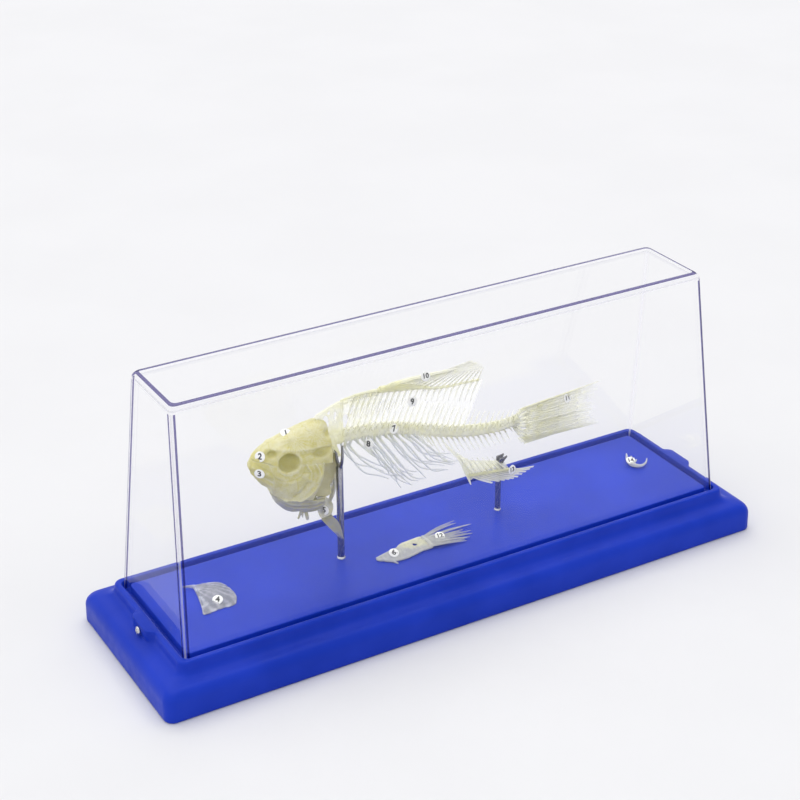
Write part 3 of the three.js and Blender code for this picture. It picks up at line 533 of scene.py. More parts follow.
class Clay:
    """A block of space, sampled on a grid, that holds the distance to a bone's surface: negative inside it."""

    def __init__(self, low, high, grain):
        counts = [int((h - l) / grain) + 2 for l, h in zip(low, high)]
        self.low, self.grain = np.array(low, float), grain
        axes = [l + grain * np.arange(n, dtype=np.float32) for l, n in zip(low, counts)]
        self.x = axes[0][:, None, None].astype(np.float32)
        self.y = axes[1][None, :, None].astype(np.float32)
        self.z = axes[2][None, None, :].astype(np.float32)
        self.shape = tuple(counts)

    def ball(self, centre, radii):
        """Distance to an ellipsoid, close to true near its surface."""
        parts = [(axis - c) / r for axis, c, r in zip((self.x, self.y, self.z), centre, radii)]
        reach = np.sqrt(sum(p * p for p in parts))
        return (reach - 1) * min(radii)

    def rod(self, line, radii, flat=1.0):
        """Distance to a rod along a line, thicker in its plane than across it if flat is under 1."""
        found = np.full(self.shape, FAR, np.float32)
        for i in range(len(line) - 1):
            a, b = np.array(line[i], float), np.array(line[i + 1], float)
            along = b - a
            off = (self.x - a[0], (self.y - a[1]) / flat, self.z - a[2])
            run = along / np.array((1, flat, 1))
            share = np.clip(sum(o * r for o, r in zip(off, run)) / max(float(run @ run), 1e-6), 0, 1)
            gap = np.sqrt(sum((o - share * r) ** 2 for o, r in zip(off, run)))
            ra, rb = (spread(radii, k / (len(line) - 1)) for k in (i, i + 1))
            found = np.minimum(found, gap - (ra + (rb - ra) * share))
        return found

    def outline(self, points, smooth=4):
        """Distance to the upright prism over a closed outline of (x, z) points, negative inside it."""
        return ring_distance(self.x[:, 0, :], self.z[0, :, :], ring_through(points, smooth))[:, None, :]

    def near_line(self, points, width):
        """A ridge of height 1 along a line of (x, z) points, falling off over width."""
        line = [(p.x, p.z) for p in smooth_line([(x, 0, z) for x, z in points], (len(points) - 1) * 5)]
        x, z = self.x[:, 0, :], self.z[0, :, :]
        near = np.minimum.reduce([gap_to(x, z, a, b) for a, b in zip(line, line[1:])])
        return np.exp(-near / width**2)[:, None, :]

    def skin(self, field):
        """Points and four-sided faces over the zero level of a field, with one point in each cell it crosses."""
        inside = field < 0
        cells = tuple(n - 1 for n in self.shape)
        total = [np.zeros(cells, np.float32) for _ in range(3)]
        crossings = np.zeros(cells, np.float32)
        for axis in range(3):
            b, c = (axis + 1) % 3, (axis + 2) % 3
            for db in (0, 1):
                for dc in (0, 1):
                    here = [slice(0, -1)] * 3
                    here[b] = slice(db, self.shape[b] - 1 + db)
                    here[c] = slice(dc, self.shape[c] - 1 + dc)
                    there = list(here)
                    there[axis] = slice(1, None)
                    f, g = field[tuple(here)], field[tuple(there)]
                    crosses = inside[tuple(here)] != inside[tuple(there)]
                    gap = np.where(crosses, f - g, 1)
                    total[axis] += np.where(crosses, f / gap, 0)
                    total[b] += crosses * np.float32(db)
                    total[c] += crosses * np.float32(dc)
                    crossings += crosses
        used = crossings > 0
        number = np.full(cells, -1, np.int64)
        number[used] = np.arange(int(used.sum()))
        corner = np.argwhere(used)
        within = np.stack([t[used] / crossings[used] for t in total], axis=1)
        points = self.low + (corner + within) * self.grain
        faces = []
        for axis in range(3):
            b, c = (axis + 1) % 3, (axis + 2) % 3
            here = [slice(0, -1)] * 3
            here[b], here[c] = slice(1, -1), slice(1, -1)
            there = list(here)
            there[axis] = slice(1, None)
            first, second = inside[tuple(here)], inside[tuple(there)]
            at = np.argwhere(first != second)
            leaving = first[first != second]
            quad = []
            for db, dc in ((0, 0), (1, 0), (1, 1), (0, 1)):
                cell = at.copy()
                cell[:, b] += db
                cell[:, c] += dc
                quad.append(number[tuple(cell.T)])
            quad = np.stack(quad, axis=1)
            quad[~leaving] = quad[~leaving][:, ::-1]
            faces.append(quad)
        faces = np.concatenate(faces)
        return relax(points, faces), faces


def relax(points, faces):
    """Moves each point halfway to the middle of its neighbours."""
    total, count = np.zeros_like(points), np.zeros(len(points))
    for a, b in ((0, 1), (1, 2), (2, 3), (3, 0)):
        for p, q in ((a, b), (b, a)):
            for axis in range(3):
                total[:, axis] += np.bincount(faces[:, p], points[faces[:, q], axis], len(points))
            count += np.bincount(faces[:, p], minlength=len(points))
    return points * 0.5 + total / count[:, None] * 0.5


def melt(a, b, blend):
    """The union of two fields, with the inner corner filled over blend."""
    share = np.clip(0.5 + 0.5 * (b - a) / blend, 0, 1)
    return b + (a - b) * share - blend * share * (1 - share)


def scoop(field, tool, blend):
    """A field with a tool cut out of it, its edge rounded over blend."""
    return -melt(-field, tool, blend)


def cut(field, *limits):
    """A field kept only where every limit is negative."""
    for limit in limits:
        field = np.maximum(field, limit)
    return field


def bell(offset, width):
    """A hump of height 1 where offset is 0, falling off over width on both sides."""
    return np.exp(-((offset / width) ** 2))


# ---------------------------------------------------------------- materials
def new_finish(name):
    material = bpy.data.materials.new(name)
    material.use_nodes = True
    tree = material.node_tree
    return material, tree, tree.nodes["Principled BSDF"], tree.nodes["Material Output"]


def noise(tree, scale, detail=3.0, stretch=(1, 1, 1)):
    """The value of a cloudy pattern with scale clouds to a metre, drawn out by stretch."""
    place = tree.nodes.new("ShaderNodeTexCoord")
    turn = tree.nodes.new("ShaderNodeMapping")
    turn.inputs["Scale"].default_value = stretch
    pattern = tree.nodes.new("ShaderNodeTexNoise")
    pattern.inputs["Scale"].default_value = scale
    pattern.inputs["Detail"].default_value = detail
    tree.links.new(place.outputs["Object"], turn.inputs["Vector"])
    tree.links.new(turn.outputs["Vector"], pattern.inputs["Vector"])
    return pattern.outputs["Fac"]


def remap(tree, value, low, high, to_low=0.0, to_high=1.0):
    step = tree.nodes.new("ShaderNodeMapRange")
    for socket, number in zip(("From Min", "From Max", "To Min", "To Max"), (low, high, to_low, to_high)):
        step.inputs[socket].default_value = number
    tree.links.new(value, step.inputs["Value"])
    return step.outputs["Result"]


def sum_of(tree, *values):
    total = values[0]
    for value in values[1:]:
        step = tree.nodes.new("ShaderNodeMath")
        tree.links.new(total, step.inputs[0])
        tree.links.new(value, step.inputs[1])
        total = step.outputs[0]
    return total


def mixed_colour(tree, share, first, second):
    """A colour between first and second, each a colour or the output of a node."""
    step = tree.nodes.new("ShaderNodeMix")
    step.data_type = "RGBA"
    tree.links.new(share, step.inputs["Factor"])
    for socket, colour in (("A", first), ("B", second)):
        target = next(s for s in step.inputs if s.name == socket and s.type == "RGBA")
        if isinstance(colour, bpy.types.NodeSocket):
            tree.links.new(colour, target)
        else:
            target.default_value = (*colour, 1)
    return next(s for s in step.outputs if s.type == "RGBA")


def bump(tree, shader, layers):
    """Relief from (value, depth in millimetres) layers, the coarsest first."""
    normal = None
    for value, depth in layers:
        step = tree.nodes.new("ShaderNodeBump")
        step.inputs["Distance"].default_value = depth * MM
        tree.links.new(value, step.inputs["Height"])
        if normal:
            tree.links.new(normal, step.inputs["Normal"])
        normal = step.outputs["Normal"]
    tree.links.new(normal, shader.inputs["Normal"])


def mottle(tree, shader, pattern, low, high, colour, other):
    """Clouds of another colour in a shader's own, where a pattern's value passes from low to high."""
    clouds = mixed_colour(tree, remap(tree, pattern, low, high), colour, other)
    tree.links.new(clouds, shader.inputs["Base Color"])


def bone_finish(name, pale, warm, deep=None, roughness=0.42, glow=0.2, lit=0.0, sheer=0.0, oil=0.1, patchy=0.34):
    """Dry bone: pale to warm by each point's warmth, mottled and fibrous, and mixed towards deep, an olive of painted
    shade, by each point's hollow value where deep is given. glow is how much light spreads inside it, lit the share
    that comes through from behind, and sheer how much of what lies behind it shows."""
    material, tree, shader, output = new_finish(name)
    # Each point's warmth: the bone's yellow tone, which on the head also carries painted shade in the creases.
    tone_and_shade = tree.nodes.new("ShaderNodeAttribute")
    tone_and_shade.attribute_name = "warmth"
    clouds = remap(tree, noise(tree, 300, 5), 0.3, 0.7, -0.36, 0.36)
    share = sum_of(tree, tone_and_shade.outputs["Fac"], clouds)
    colour = mixed_colour(tree, remap(tree, share, 0.0, 1.0), pale, warm)
    specks = remap(tree, noise(tree, 1500, 3), 0.56, 0.75, 0.0, 0.3)
    colour = mixed_colour(tree, specks, colour, [c * 0.8 for c in warm])
    patches = remap(tree, noise(tree, 170, 6), 0.5, 0.66, 0.0, patchy)
    colour = mixed_colour(tree, patches, colour, [c * 0.74 for c in warm])
    fibres = noise(tree, 1400, 4, (0.22, 1, 1))
    colour = mixed_colour(tree, remap(tree, fibres, 0.35, 0.65, 0.0, 0.2), colour, [c * 0.85 for c in pale])
    # Painted shade: the hollows are mixed towards the olive of deep.
    if deep is not None:
        pit = tree.nodes.new("ShaderNodeAttribute")
        pit.attribute_name = "hollow"
        colour = mixed_colour(tree, pit.outputs["Fac"], colour, deep)
    tree.links.new(colour, shader.inputs["Base Color"])
    rough = remap(tree, noise(tree, 700, 3), 0.3, 0.7, roughness - 0.08, roughness + 0.1)
    tree.links.new(rough, shader.inputs["Roughness"])
    shader.inputs["Subsurface Weight"].default_value = glow
    shader.inputs["Subsurface Radius"].default_value = (1.0, 0.85, 0.55)
    shader.inputs["Subsurface Scale"].default_value = 1.2 * MM
    shader.inputs["Coat Weight"].default_value = oil
    shader.inputs["Coat Roughness"].default_value = 0.3
    bump(tree, shader, [(noise(tree, 420, 3), 0.12), (fibres, 0.09), (noise(tree, 4200, 2), 0.03)])
    surface = shader.outputs[0]
    for kind, amount in (("ShaderNodeBsdfTranslucent", lit), ("ShaderNodeBsdfTransparent", sheer)):
        if amount:
            layer = tree.nodes.new(kind)
            if kind == "ShaderNodeBsdfTranslucent":
                tree.links.new(colour, layer.inputs["Color"])
            blend = tree.nodes.new("ShaderNodeMixShader")
            blend.inputs["Fac"].default_value = amount
            tree.links.new(surface, blend.inputs[1])
            tree.links.new(layer.outputs[0], blend.inputs[2])
            surface = blend.outputs[0]
    tree.links.new(surface, output.inputs["Surface"])
    return material


def moulded_plastic(name, colour):
    """Satin moulded plastic with a faint orange-peel surface and fine rubbed marks."""
    material, tree, shader, _ = new_finish(name)
    mottle(tree, shader, noise(tree, 30, 3), 0.35, 0.65, colour, [min(c * 1.18 + 0.004, 1) for c in colour])
    marks = noise(tree, 180, 5, (0.3, 1, 1))
    tree.links.new(remap(tree, marks, 0.35, 0.65, 0.3, 0.42), shader.inputs["Roughness"])
    shader.inputs["Specular IOR Level"].default_value = 0.15
    bump(tree, shader, [(noise(tree, 500, 2), 0.02), (noise(tree, 2400, 2), 0.006)])
    return material


def clear_plastic(name, tint, painted_highlight=0.0):
    """Clear plastic with a polished coat, thin enough to show what stands behind it in its place. The last argument is
    the share of it painted white as a highlight, through a white translucent layer."""
    material, tree, shader, output = new_finish(name)
    shader.inputs["Base Color"].default_value = (*tint, 1)
    shader.inputs["Transmission Weight"].default_value = 1.0
    shader.inputs["IOR"].default_value = 1.01
    shader.inputs["Roughness"].default_value = 0.0
    shader.inputs["Coat Weight"].default_value = 0.5
    shader.inputs["Coat IOR"].default_value = 1.45
    shader.inputs["Coat Roughness"].default_value = 0.01
    surface = shader.outputs[0]
    layers = []
    # Painted highlight: a white translucent layer mixed in.
    if painted_highlight:
        painted_white = tree.nodes.new("ShaderNodeBsdfTranslucent")
        painted_white.inputs["Color"].default_value = (0.95, 0.95, 1.0, 1)
        layers.append((painted_white, painted_highlight))
    through = tree.nodes.new("ShaderNodeBsdfTransparent")
    through.inputs["Color"].default_value = (*[c**0.5 for c in tint], 1)
    path = tree.nodes.new("ShaderNodeLightPath")
    layers.append((through, path.outputs["Is Shadow Ray"]))
    for layer, share in layers:
        blend = tree.nodes.new("ShaderNodeMixShader")
        if isinstance(share, float):
            blend.inputs["Fac"].default_value = share
        else:
            tree.links.new(share, blend.inputs["Fac"])
        tree.links.new(surface, blend.inputs[1])
        tree.links.new(layer.outputs[0], blend.inputs[2])
        surface = blend.outputs[0]
    tree.links.new(surface, output.inputs["Surface"])
    bump(tree, shader, [(noise(tree, 14, 2), 0.02)])
    return material


def bright_steel(name, colour=(0.60, 0.60, 0.64), lie=(1, 1, 0.04)):
    """Drawn steel with fine marks along it."""
    material, tree, shader, _ = new_finish(name)
    grain = noise(tree, 5000, 2, lie)
    mottle(tree, shader, grain, 0.3, 0.7, colour, [c * 0.7 for c in colour])
    shader.inputs["Metallic"].default_value = 1.0
    tree.links.new(remap(tree, grain, 0.3, 0.7, 0.16, 0.3), shader.inputs["Roughness"])
    bump(tree, shader, [(grain, 0.01)])
    return material


def paper(name, colour):
    material, tree, shader, _ = new_finish(name)
    felt = noise(tree, 6000, 3)
    mottle(tree, shader, felt, 0.35, 0.65, colour, [c * 0.93 for c in colour])
    shader.inputs["Roughness"].default_value = 0.7
    bump(tree, shader, [(felt, 0.02)])
    return material


def printing_ink(name, colour):
    material, tree, shader, _ = new_finish(name)
    mottle(tree, shader, noise(tree, 6000, 3), 0.4, 0.7, colour, [c + 0.03 for c in colour])
    shader.inputs["Roughness"].default_value = 0.5
    return material


def stage_floor_finish(name, colour):
    material, tree, shader, _ = new_finish(name)
    mottle(tree, shader, noise(tree, 8, 3), 0.4, 0.6, colour, [c * 0.985 for c in colour])
    shader.inputs["Roughness"].default_value = 0.8
    shader.inputs["Specular IOR Level"].default_value = 0.2
    return material


# ---------------------------------------------------------------- case: base, cover, screws, pins
# The outer face of the base from its foot up: [share of the way in to the rim, height, corner radius, boss]
BASE_FACE = [(0.10, 0.0, 4.2, 0), (0.03, 0.12, 4.6, 0), (0.0, 0.7, 4.9, 0), (0.0, 2.0, 5.0, 0), (0.012, 9.4, 5.0, 0)]
BASE_FACE += [(0.03, 10.6, 5.0, 0), (0.065, 11.8, 4.9, 0), (0.12, 12.9, 4.9, 0), (0.19, 13.8, 4.8, 0)]
BASE_FACE += [(0.28, 14.5, 4.8, 0), (0.38, 14.95, 4.7, 0), (0.5, 15.25, 4.7, 0), (0.62, 15.5, 4.6, 0)]
BASE_FACE += [(0.73, 15.85, 4.6, 0.12), (0.82, 16.35, 4.5, 0.5), (0.89, 17.0, 4.5, 0.8), (0.94, 17.8, 4.4, 0.95)]
BASE_FACE += [(0.965, 18.8, 4.4, 1.0), (0.985, 20.6, 4.3, 1.0), (1.0, 21.4, 4.2, 1.0), (1.02, 21.95, 4.1, 1.0)]
BASE_FACE += [(1.05, 22.28, 4.0, 1.0), (1.09, 22.4, 3.9, 0.95)]


def make_base(settings):
    mould = Mould()
    rings = []
    for share, z, radius, boss in BASE_FACE:
        half = tuple(mix(wide, rim, share) for wide, rim in zip(BASE_HALF, RIM_HALF))
        rings.append(rounded_ring(half, radius, z, 10, 40, boss))
    for half, by, radius, z in (
        (GROOVE_HALF, -0.5, 3.6, RIM_Z),
        (GROOVE_HALF, -0.12, 3.3, RIM_Z - 0.12),
        (GROOVE_HALF, 0, 3.1, RIM_Z - 0.5),
        (GROOVE_HALF, 0, 3.1, GROOVE_Z + 0.2),
        (GROOVE_HALF, 0.2, 2.9, GROOVE_Z),
        (FLOOR_HALF, -0.3, 2.3, GROOVE_Z),
        (FLOOR_HALF, 0, 2.0, GROOVE_Z + 0.3),
        (FLOOR_HALF, 0, 2.0, FLOOR_Z - 0.4),
        (FLOOR_HALF, 0.12, 1.9, FLOOR_Z - 0.12),
        (FLOOR_HALF, 0.4, 1.6, FLOOR_Z),
        (FLOOR_HALF, 1.2, 1.2, FLOOR_Z),
    ):
        rings.append(rounded_ring(inset(half, by), radius, z, 10, 40))
    mould.loft(rings)
    finish = moulded_plastic("Blue plastic", tuple(settings.base_colour))
    return make_piece("moulded_base", mould, [finish], ["base"])


# The cover's finishes: clear sheet; bends tinted faintly darker; dark lines of painted shade; glints of painted
# highlight.
SHEET, BEND, PAINTED_EDGE_LINE, GLINT = range(4)  # the cover's finishes


def make_cover(settings):
    """The tapered cover as one closed skin, its inner face, foot and outer face in one run of rings."""
    wall, edge_r = settings.wall / MM, settings.edge_radius / MM
    arc, corner_arc, upright = 7, 8, 3  # steps in a top edge's bend and a corner's, rows of faces below the bend
    top_z, foot_z = COVER_HIGH.z, COVER_LOW.z

    def shell(by, corner):
        """Rings from the foot to the roof of the cover, drawn in by a wall's thickness or none."""
        foot, top = inset(COVER_FOOT, by), inset(COVER_TOP, by)
        bend = edge_r - by
        start = top_z - edge_r
        rise = start - foot_z

        def at(z):
            share = (z - foot_z) / rise
            return (mix(foot[0], top[0], share), mix(foot[1], top[1], share))

        rings = [rounded_ring(at(z), corner, z, corner_arc) for z in (foot_z, foot_z + 0.5, start - 0.5, start)]
        for step in range(1, arc + 1):
            turn = step / arc * math.pi / 2
            pulled = bend * (1 - math.cos(turn)) * 0.9
            rings.append(rounded_ring(inset(top, pulled), corner, start + bend * math.sin(turn), corner_arc))
        rings.append(rounded_ring(inset(top, bend + 0.6), corner, top_z - by, corner_arc))
        return rings

    outer, inner = shell(0.0, 2.6), shell(wall, 0.8)
    rings = inner[::-1] + outer
    side_points = corner_arc + 3

    def finish_at(ring, point):
        """A face's finish by its row, counted up from the foot, and its place in the ring, whose corners come in
        the order far right, far left, near left, near right. The dark lines, painted shade that stands in for the
        refraction at the bent edges, and the glints, painted highlights, are on the outer face only."""
        outside = ring >= len(inner)
        row = ring - len(inner) if outside else len(inner) - 2 - ring
        step = point % side_points
        bent_corner = 0 < step < side_points - 2 and row < upright
        bent_top = upright <= row < upright + arc
        far_right, near_right = point < side_points, point >= 3 * side_points
        far_side = point < 2 * side_points - 1 or point == 4 * side_points - 1
        line_rows = range(arc - 2, arc + 2) if far_side else (arc, arc + 1)
        line_steps = (1, 2, 3, 6, 7, 8) if near_right else (1, 2, 7, 8)
        # Painted shade: dark lines on the bent corners and along the top edges.
        if outside and (bent_corner and not far_right and step in line_steps or row in line_rows):
            return PAINTED_EDGE_LINE
        # Painted highlight: white glints down the middle of the bent corners and along one row of the top edges.
        if outside and (bent_corner and step in (4, 5) or row == arc - 3):
            return GLINT
        return BEND if bent_top or bent_corner else SHEET

    mould = Mould()
    mould.loft(rings, finish_at=finish_at)
    # The bend, edge line and highlight finishes paint faint shade, dark edge shade and a white highlight.
    finishes = [
        clear_plastic("Clear plastic", tuple(settings.clear_tint)),
        clear_plastic("Clear plastic bend", (0.985, 0.985, 1.0)),
        clear_plastic("Clear plastic edge line", tuple(settings.painted_edge_shade)),
        clear_plastic("Clear plastic highlight", tuple(settings.clear_tint), painted_highlight=0.4),
    ]
    return make_piece("clear_cover", mould, finishes, ["cover"])


SCREW_R, SCREW_RISE, SCREW_EDGE = 2.15, 1.15, 0.4  # radius of the head, rise of its dome, height of its edge
SLOT_HALF, SLOT_REACH, SLOT_DEPTH = 0.26, 1.3, 0.85


def make_screw(side, finish):
    """A small pan-head screw with a crossed recess, its axis along X."""
    face = RIM_HALF[0] + BOSS_OUT + 0.05

    def ring(radius, height, sunk=False):
        made = []
        for turn in turns(64):
            y, z = radius * math.cos(turn), radius * math.sin(turn)
            arms = [max(abs(a) - SLOT_HALF, abs(b) - SLOT_REACH) for a, b in ((y, z), (z, y))]
            depth = SLOT_DEPTH * ease(0.5 - min(arms) / 0.12) if sunk else 0.0
            made.append(Vector((side * (face + height - depth), y, SCREW_Z + z)))
        return made

    rings = [ring(1.0, -6), ring(1.3, -0.05), ring(2.0, 0), ring(2.14, 0.14)]
    rings += [ring(SCREW_R * math.cos(t), SCREW_EDGE + SCREW_RISE * math.sin(t)) for t in (0.1, 0.3, 0.5)]
    for k in range(17):
        radius = 1.7 * (1 - k / 16)
        dome = SCREW_EDGE + SCREW_RISE * math.sqrt(1 - (radius / SCREW_R) ** 2)
        rings.append(ring(max(radius, 0.02), dome, True))
    mould = Mould()
    mould.loft(rings)
    end = "left" if side < 0 else "right"
    return make_piece("screw_head_" + end, mould, [finish], ["screw_" + end])


PIN_FRONT_X, PIN_FRONT_R, FORK_Z = -49.2, 1.75, 74.0
PIN_REAR_X, PIN_REAR_R = 41.6, 1.45
PIN_FOOT_Z = FLOOR_Z - 4  # inside the base


def make_pins(finish, collar_finish, clip_finish):
    """The two steel pins: the front one forks round the first vertebra, the rear one ends in a dark clip."""
    fork_top = node_box("pin_front")[1].z
    finishes = [finish, collar_finish, clip_finish]
    front = Mould()
    front.tube(straight((PIN_FRONT_X, 0, PIN_FOOT_Z), (PIN_FRONT_X, 0, FORK_Z - 1.5), 6), PIN_FRONT_R, 24)
    front.tube(straight((PIN_FRONT_X, 0, FORK_Z - 2), (PIN_FRONT_X, 0, FORK_Z + 0.2), 3), (PIN_FRONT_R, 1.5, 1.0), 24)
    for side in (-1, 1):
        bend = [(PIN_FRONT_X, side * 0.5, FORK_Z - 2), (PIN_FRONT_X, side * 2.2, FORK_Z + 1)]
        bend += [(PIN_FRONT_X, side * 3.2, FORK_Z + 5), (PIN_FRONT_X, side * 3.2, fork_top - 0.5)]
        front.tube(smooth_line(bend, 24), (0.95, 0.8, 0.7, 0.6), 12, finish=2)
    front.tube(straight((PIN_FRONT_X, 0, FLOOR_Z - 1), (PIN_FRONT_X, 0, FLOOR_Z + 0.35), 2), 2.3, 24, finish=1)
    top = node_box("pin_rear")[1].z
    rear = Mould()
    rear.tube(straight((PIN_REAR_X, 0, PIN_FOOT_Z), (PIN_REAR_X, 0, top - 6), 6), PIN_REAR_R, 24)
    rear.tube(straight((PIN_REAR_X, 0, FLOOR_Z - 1), (PIN_REAR_X, 0, FLOOR_Z + 0.3), 2), 1.9, 24, finish=1)
    for side in (-1, 1):
        jaw = [(PIN_REAR_X - 0.4, side * 0.5, top - 7), (PIN_REAR_X - 0.6, side * 0.9, top - 4)]
        jaw += [(PIN_REAR_X + 0.2, side * 1.5, top - 1)]
        line = smooth_line(jaw, 12)
        reach = [p + Vector((mix(1.2, 3.6, k / 12), 0, 0.3)) for k, p in enumerate(line)]
        rear.web(line, reach, 0.7, finish=2)
        rear.tube(line, (0.7, 0.6, 0.5), 10, finish=2)
        rear.tube(reach, (0.6, 0.5, 0.5), 10, finish=2)
    fish_piece("front_pin", front, finishes, ["pin_front"])
    fish_piece("rear_pin", rear, finishes, ["pin_rear"])


# ---------------------------------------------------------------- head
# Where the bones of the head meet, as lines of [x, z] in the middle plane
ROOF_LINE = [(-99, 90.6), (-94, 89.2), (-90.5, 88.6), (-86, 86.4), (-80, 85.4)]
ROOF_LINE += [(-75, 84.9), (-70, 84.2), (-62, 82.4), (-54, 80.4)]
JAW_BACK = [(-90.4, 98), (-88.6, 88), (-86.8, 80), (-86.4, 72), (-84.2, 61)]
MOUTH_LINE = [(-99, 86.2), (-94, 82.6), (-90, 80.2), (-86.6, 77.4), (-82, 73.5)]
CHEEK_BACK = [(-61.6, 96), (-61.2, 88), (-62.4, 80), (-64.8, 72), (-67.2, 64), (-69.5, 50)]
THROAT_LINE = [(-92, 71.6), (-86, 69.0), (-80, 66.6), (-73, 65.2), (-66, 62.8), (-58, 61.0), (-44, 57.6)]


HEAD_MIDDLE_Z = 80  # height of the head's long middle line
LAP = 0.15  # how far a bone of the head reaches into its neighbour
MIDDLE_GAP = 0.15  # from the middle plane to each cheek
GROWTH = (-64, 80)  # where the right gill cover's rings and rays start


def level(points, values):
    """The height of a line of (x, z) points at each of values, an array."""
    line = smooth_line([(x, 0, z) for x, z in points], 60)
    return np.interp(values, [p.x for p in line], [p.z for p in line]).astype(np.float32)


class HeadClay(Clay):
    """The block that the skull's bones are modelled in, with the distance to the whole head's outer form."""

    def __init__(self, grain):
        super().__init__((-98.0, -12.2, 47.5), (-45.0, 12.2, 103.4), grain)
        dense = smooth_line([(x, top, bottom) for x, top, bottom, _ in HEAD_SECTIONS], 90)
        wide = smooth_line([(x, half, 0) for x, _, _, half in HEAD_SECTIONS], 90)
        along = [p.x for p in dense]
        top = np.interp(self.x, along, [p.y for p in dense])
        bottom = np.interp(self.x, along, [p.z for p in dense])
        half = np.interp(self.x, [p.x for p in wide], [p.y for p in wide])
        middle = bottom + (top - bottom) * 0.56
        rise = np.where(self.z > middle, top - middle, middle - bottom)
        lift = np.abs(self.z - middle) / rise
        keel = np.where(self.z < middle, 1 - 0.3 * np.minimum(lift, 1) ** 2.35, 1)
        form = (np.abs(self.y) / (half * keel)) ** 2.2 + lift**2.35 - 1
        slope = np.gradient(form, self.grain)
        steep = np.sqrt(sum(s * s for s in slope))
        self.form = np.clip(form / np.maximum(steep, 0.03), -12, 12).astype(np.float32)
        self.form = np.maximum(self.form, np.maximum(-96.4 - self.x, self.x + 46.8))
        self.side = np.abs(self.y)

    def above(self, points):
        """Negative above a line of (x, z) points that runs along X."""
        return level(points, self.x) - self.z

    def before(self, points):
        """Negative in front of a line of (x, z) points that runs up and down."""
        flipped = [(z, x) for x, z in sorted(points, key=lambda p: p[1])]
        return self.x - level(flipped, self.z)

    def away(self, x, z):
        """Distance from the line that runs across the head through a point (x, z) of the middle plane."""
        return np.sqrt((self.x - x) ** 2 + (self.z - z) ** 2)

    def eye_zone(self):
        """Negative inside the round of the eye socket, right across the head."""
        return self.away(EYE_X, EYE_Z) - EYE_R - 0.9

    def brow(self, out):
        """A round ridge of height 1 that stands out by that much from the eye socket."""
        return bell(self.away(EYE_X, EYE_Z) - EYE_R - out, 0.8)

    def without_eye(self, field, side):
        """A field with the eye's hollow of one side scooped out."""
        return scoop(field, self.ball((EYE_X, side * 10.2, EYE_Z), (EYE_R + 0.3, 6.4, EYE_R - 0.3)), 0.7)

    def cloudy(self, size, seed):
        """A soft uneven relief of about 1, with bumps of a size in millimetres."""
        a = np.sin(self.x * 2 * math.pi / size + seed) * np.sin(self.z * 2.2 * math.pi / size + seed * 2.1)
        b = np.sin((self.x + self.z) * 1.3 * math.pi / size + seed * 0.7) * np.cos(self.y * 1.7 * math.pi / size)
        return a * 0.6 + b * 0.4


def rays_from(clay, x, z, count, reach):
    """Fine radiating ridges round a bone's centre of growth, fading with distance."""
    turn = np.arctan2(clay.z - z, clay.x - x)
    away = clay.away(x, z)
    return np.sin(turn * count) * bell(away, reach) * np.clip(away / 2, 0, 1)


def cranium_field(clay):
    """The roof and sides of the braincase, with the eye sockets, nasal hollows and the rear crest."""
    eyes_and_roof = np.minimum(clay.above(ROOF_LINE), clay.eye_zone())
    field = cut(clay.form, eyes_and_roof, clay.x + 57.2 - 0.03 * (clay.z - 80))
    for side in (-1, 1):
        field = clay.without_eye(field, side)
        field = scoop(field, clay.ball((NOSTRIL_X, side * 8.2, NOSTRIL_Z), (2.9, 4.6, 2.2)), 0.6)
        field = scoop(field, clay.ball((-62, side * 9.6, 89.0), (5, 2.2, 2.6)), 1.2)
        field = scoop(field, clay.ball((-57, side * 7.4, 96.5), (3.6, 3.0, 2.8)), 1.0)
    top = np.clip((clay.z - level([(x, t) for x, t, _, _ in HEAD_SECTIONS], clay.x) + 3.5) / 3, 0, 1)
    seam = bell(clay.y - 0.35 * np.sin(clay.x * 2.6), 0.22) * top
    cross = bell(clay.x + 68.4 - 0.5 * np.sin(clay.y * 2.2) - 0.12 * clay.side, 0.24) * top
    front = bell(clay.x + 86.2 + 0.28 * clay.side, 0.26) * top
    flank = clay.near_line([(-85, 94.2), (-79, 93.2), (-72.6, 92.2), (-66, 91.8), (-59, 90.6)], 0.9)
    trough = clay.near_line([(-74, 89.6), (-68, 89.2), (-62, 88.0)], 1.0)
    brow = clay.brow(0.7)
    sides = np.clip((clay.side - 3) / 2, 0, 1)
    relief = 0.5 * flank * sides - 0.4 * trough * sides + 0.2 * brow * sides
    relief = relief + 0.10 * rays_from(clay, -75.5, 97, 26, 8) + 0.09 * rays_from(clay, -64.5, 98.5, 22, 6)
    relief = relief - 0.30 * seam - 0.26 * cross - 0.2 * front + 0.10 * clay.cloudy(5.2, 0.4)
    field = field - relief
    crest = clay.rod([(-72, 0, 98.9), (-66, 0, 100.3), (-61.6, 0, 100.6), (-57.6, 0, 99.4)], (0.3, 0.5, 0.55, 0.4))
    return melt(field, crest, 0.6)


def upper_jaw_field(clay):
    """Premaxilla and maxilla: two bowed bars over the mouth, with a pit where they meet the snout."""
    field = cut(clay.form, -clay.above(ROOF_LINE) - LAP, -LAP - clay.eye_zone())
    field = cut(field, clay.before(JAW_BACK) - LAP, clay.above(MOUTH_LINE) - LAP)
    bars = 0.35 * clay.near_line([(-95.5, 86.5), (-92.4, 84.2), (-89.6, 82.2), (-87.4, 80.6)], 1.0)
    groove = 0.2 * clay.near_line([(-94.4, 88.2), (-91.6, 86.0), (-88.8, 83.8)], 0.4)
    field = field - bars + groove - 0.08 * clay.cloudy(4.0, 2.0)
    return scoop(field, clay.ball((-91.4, 0, 78.6), (3.6, 2.2, 4)), 0.8)


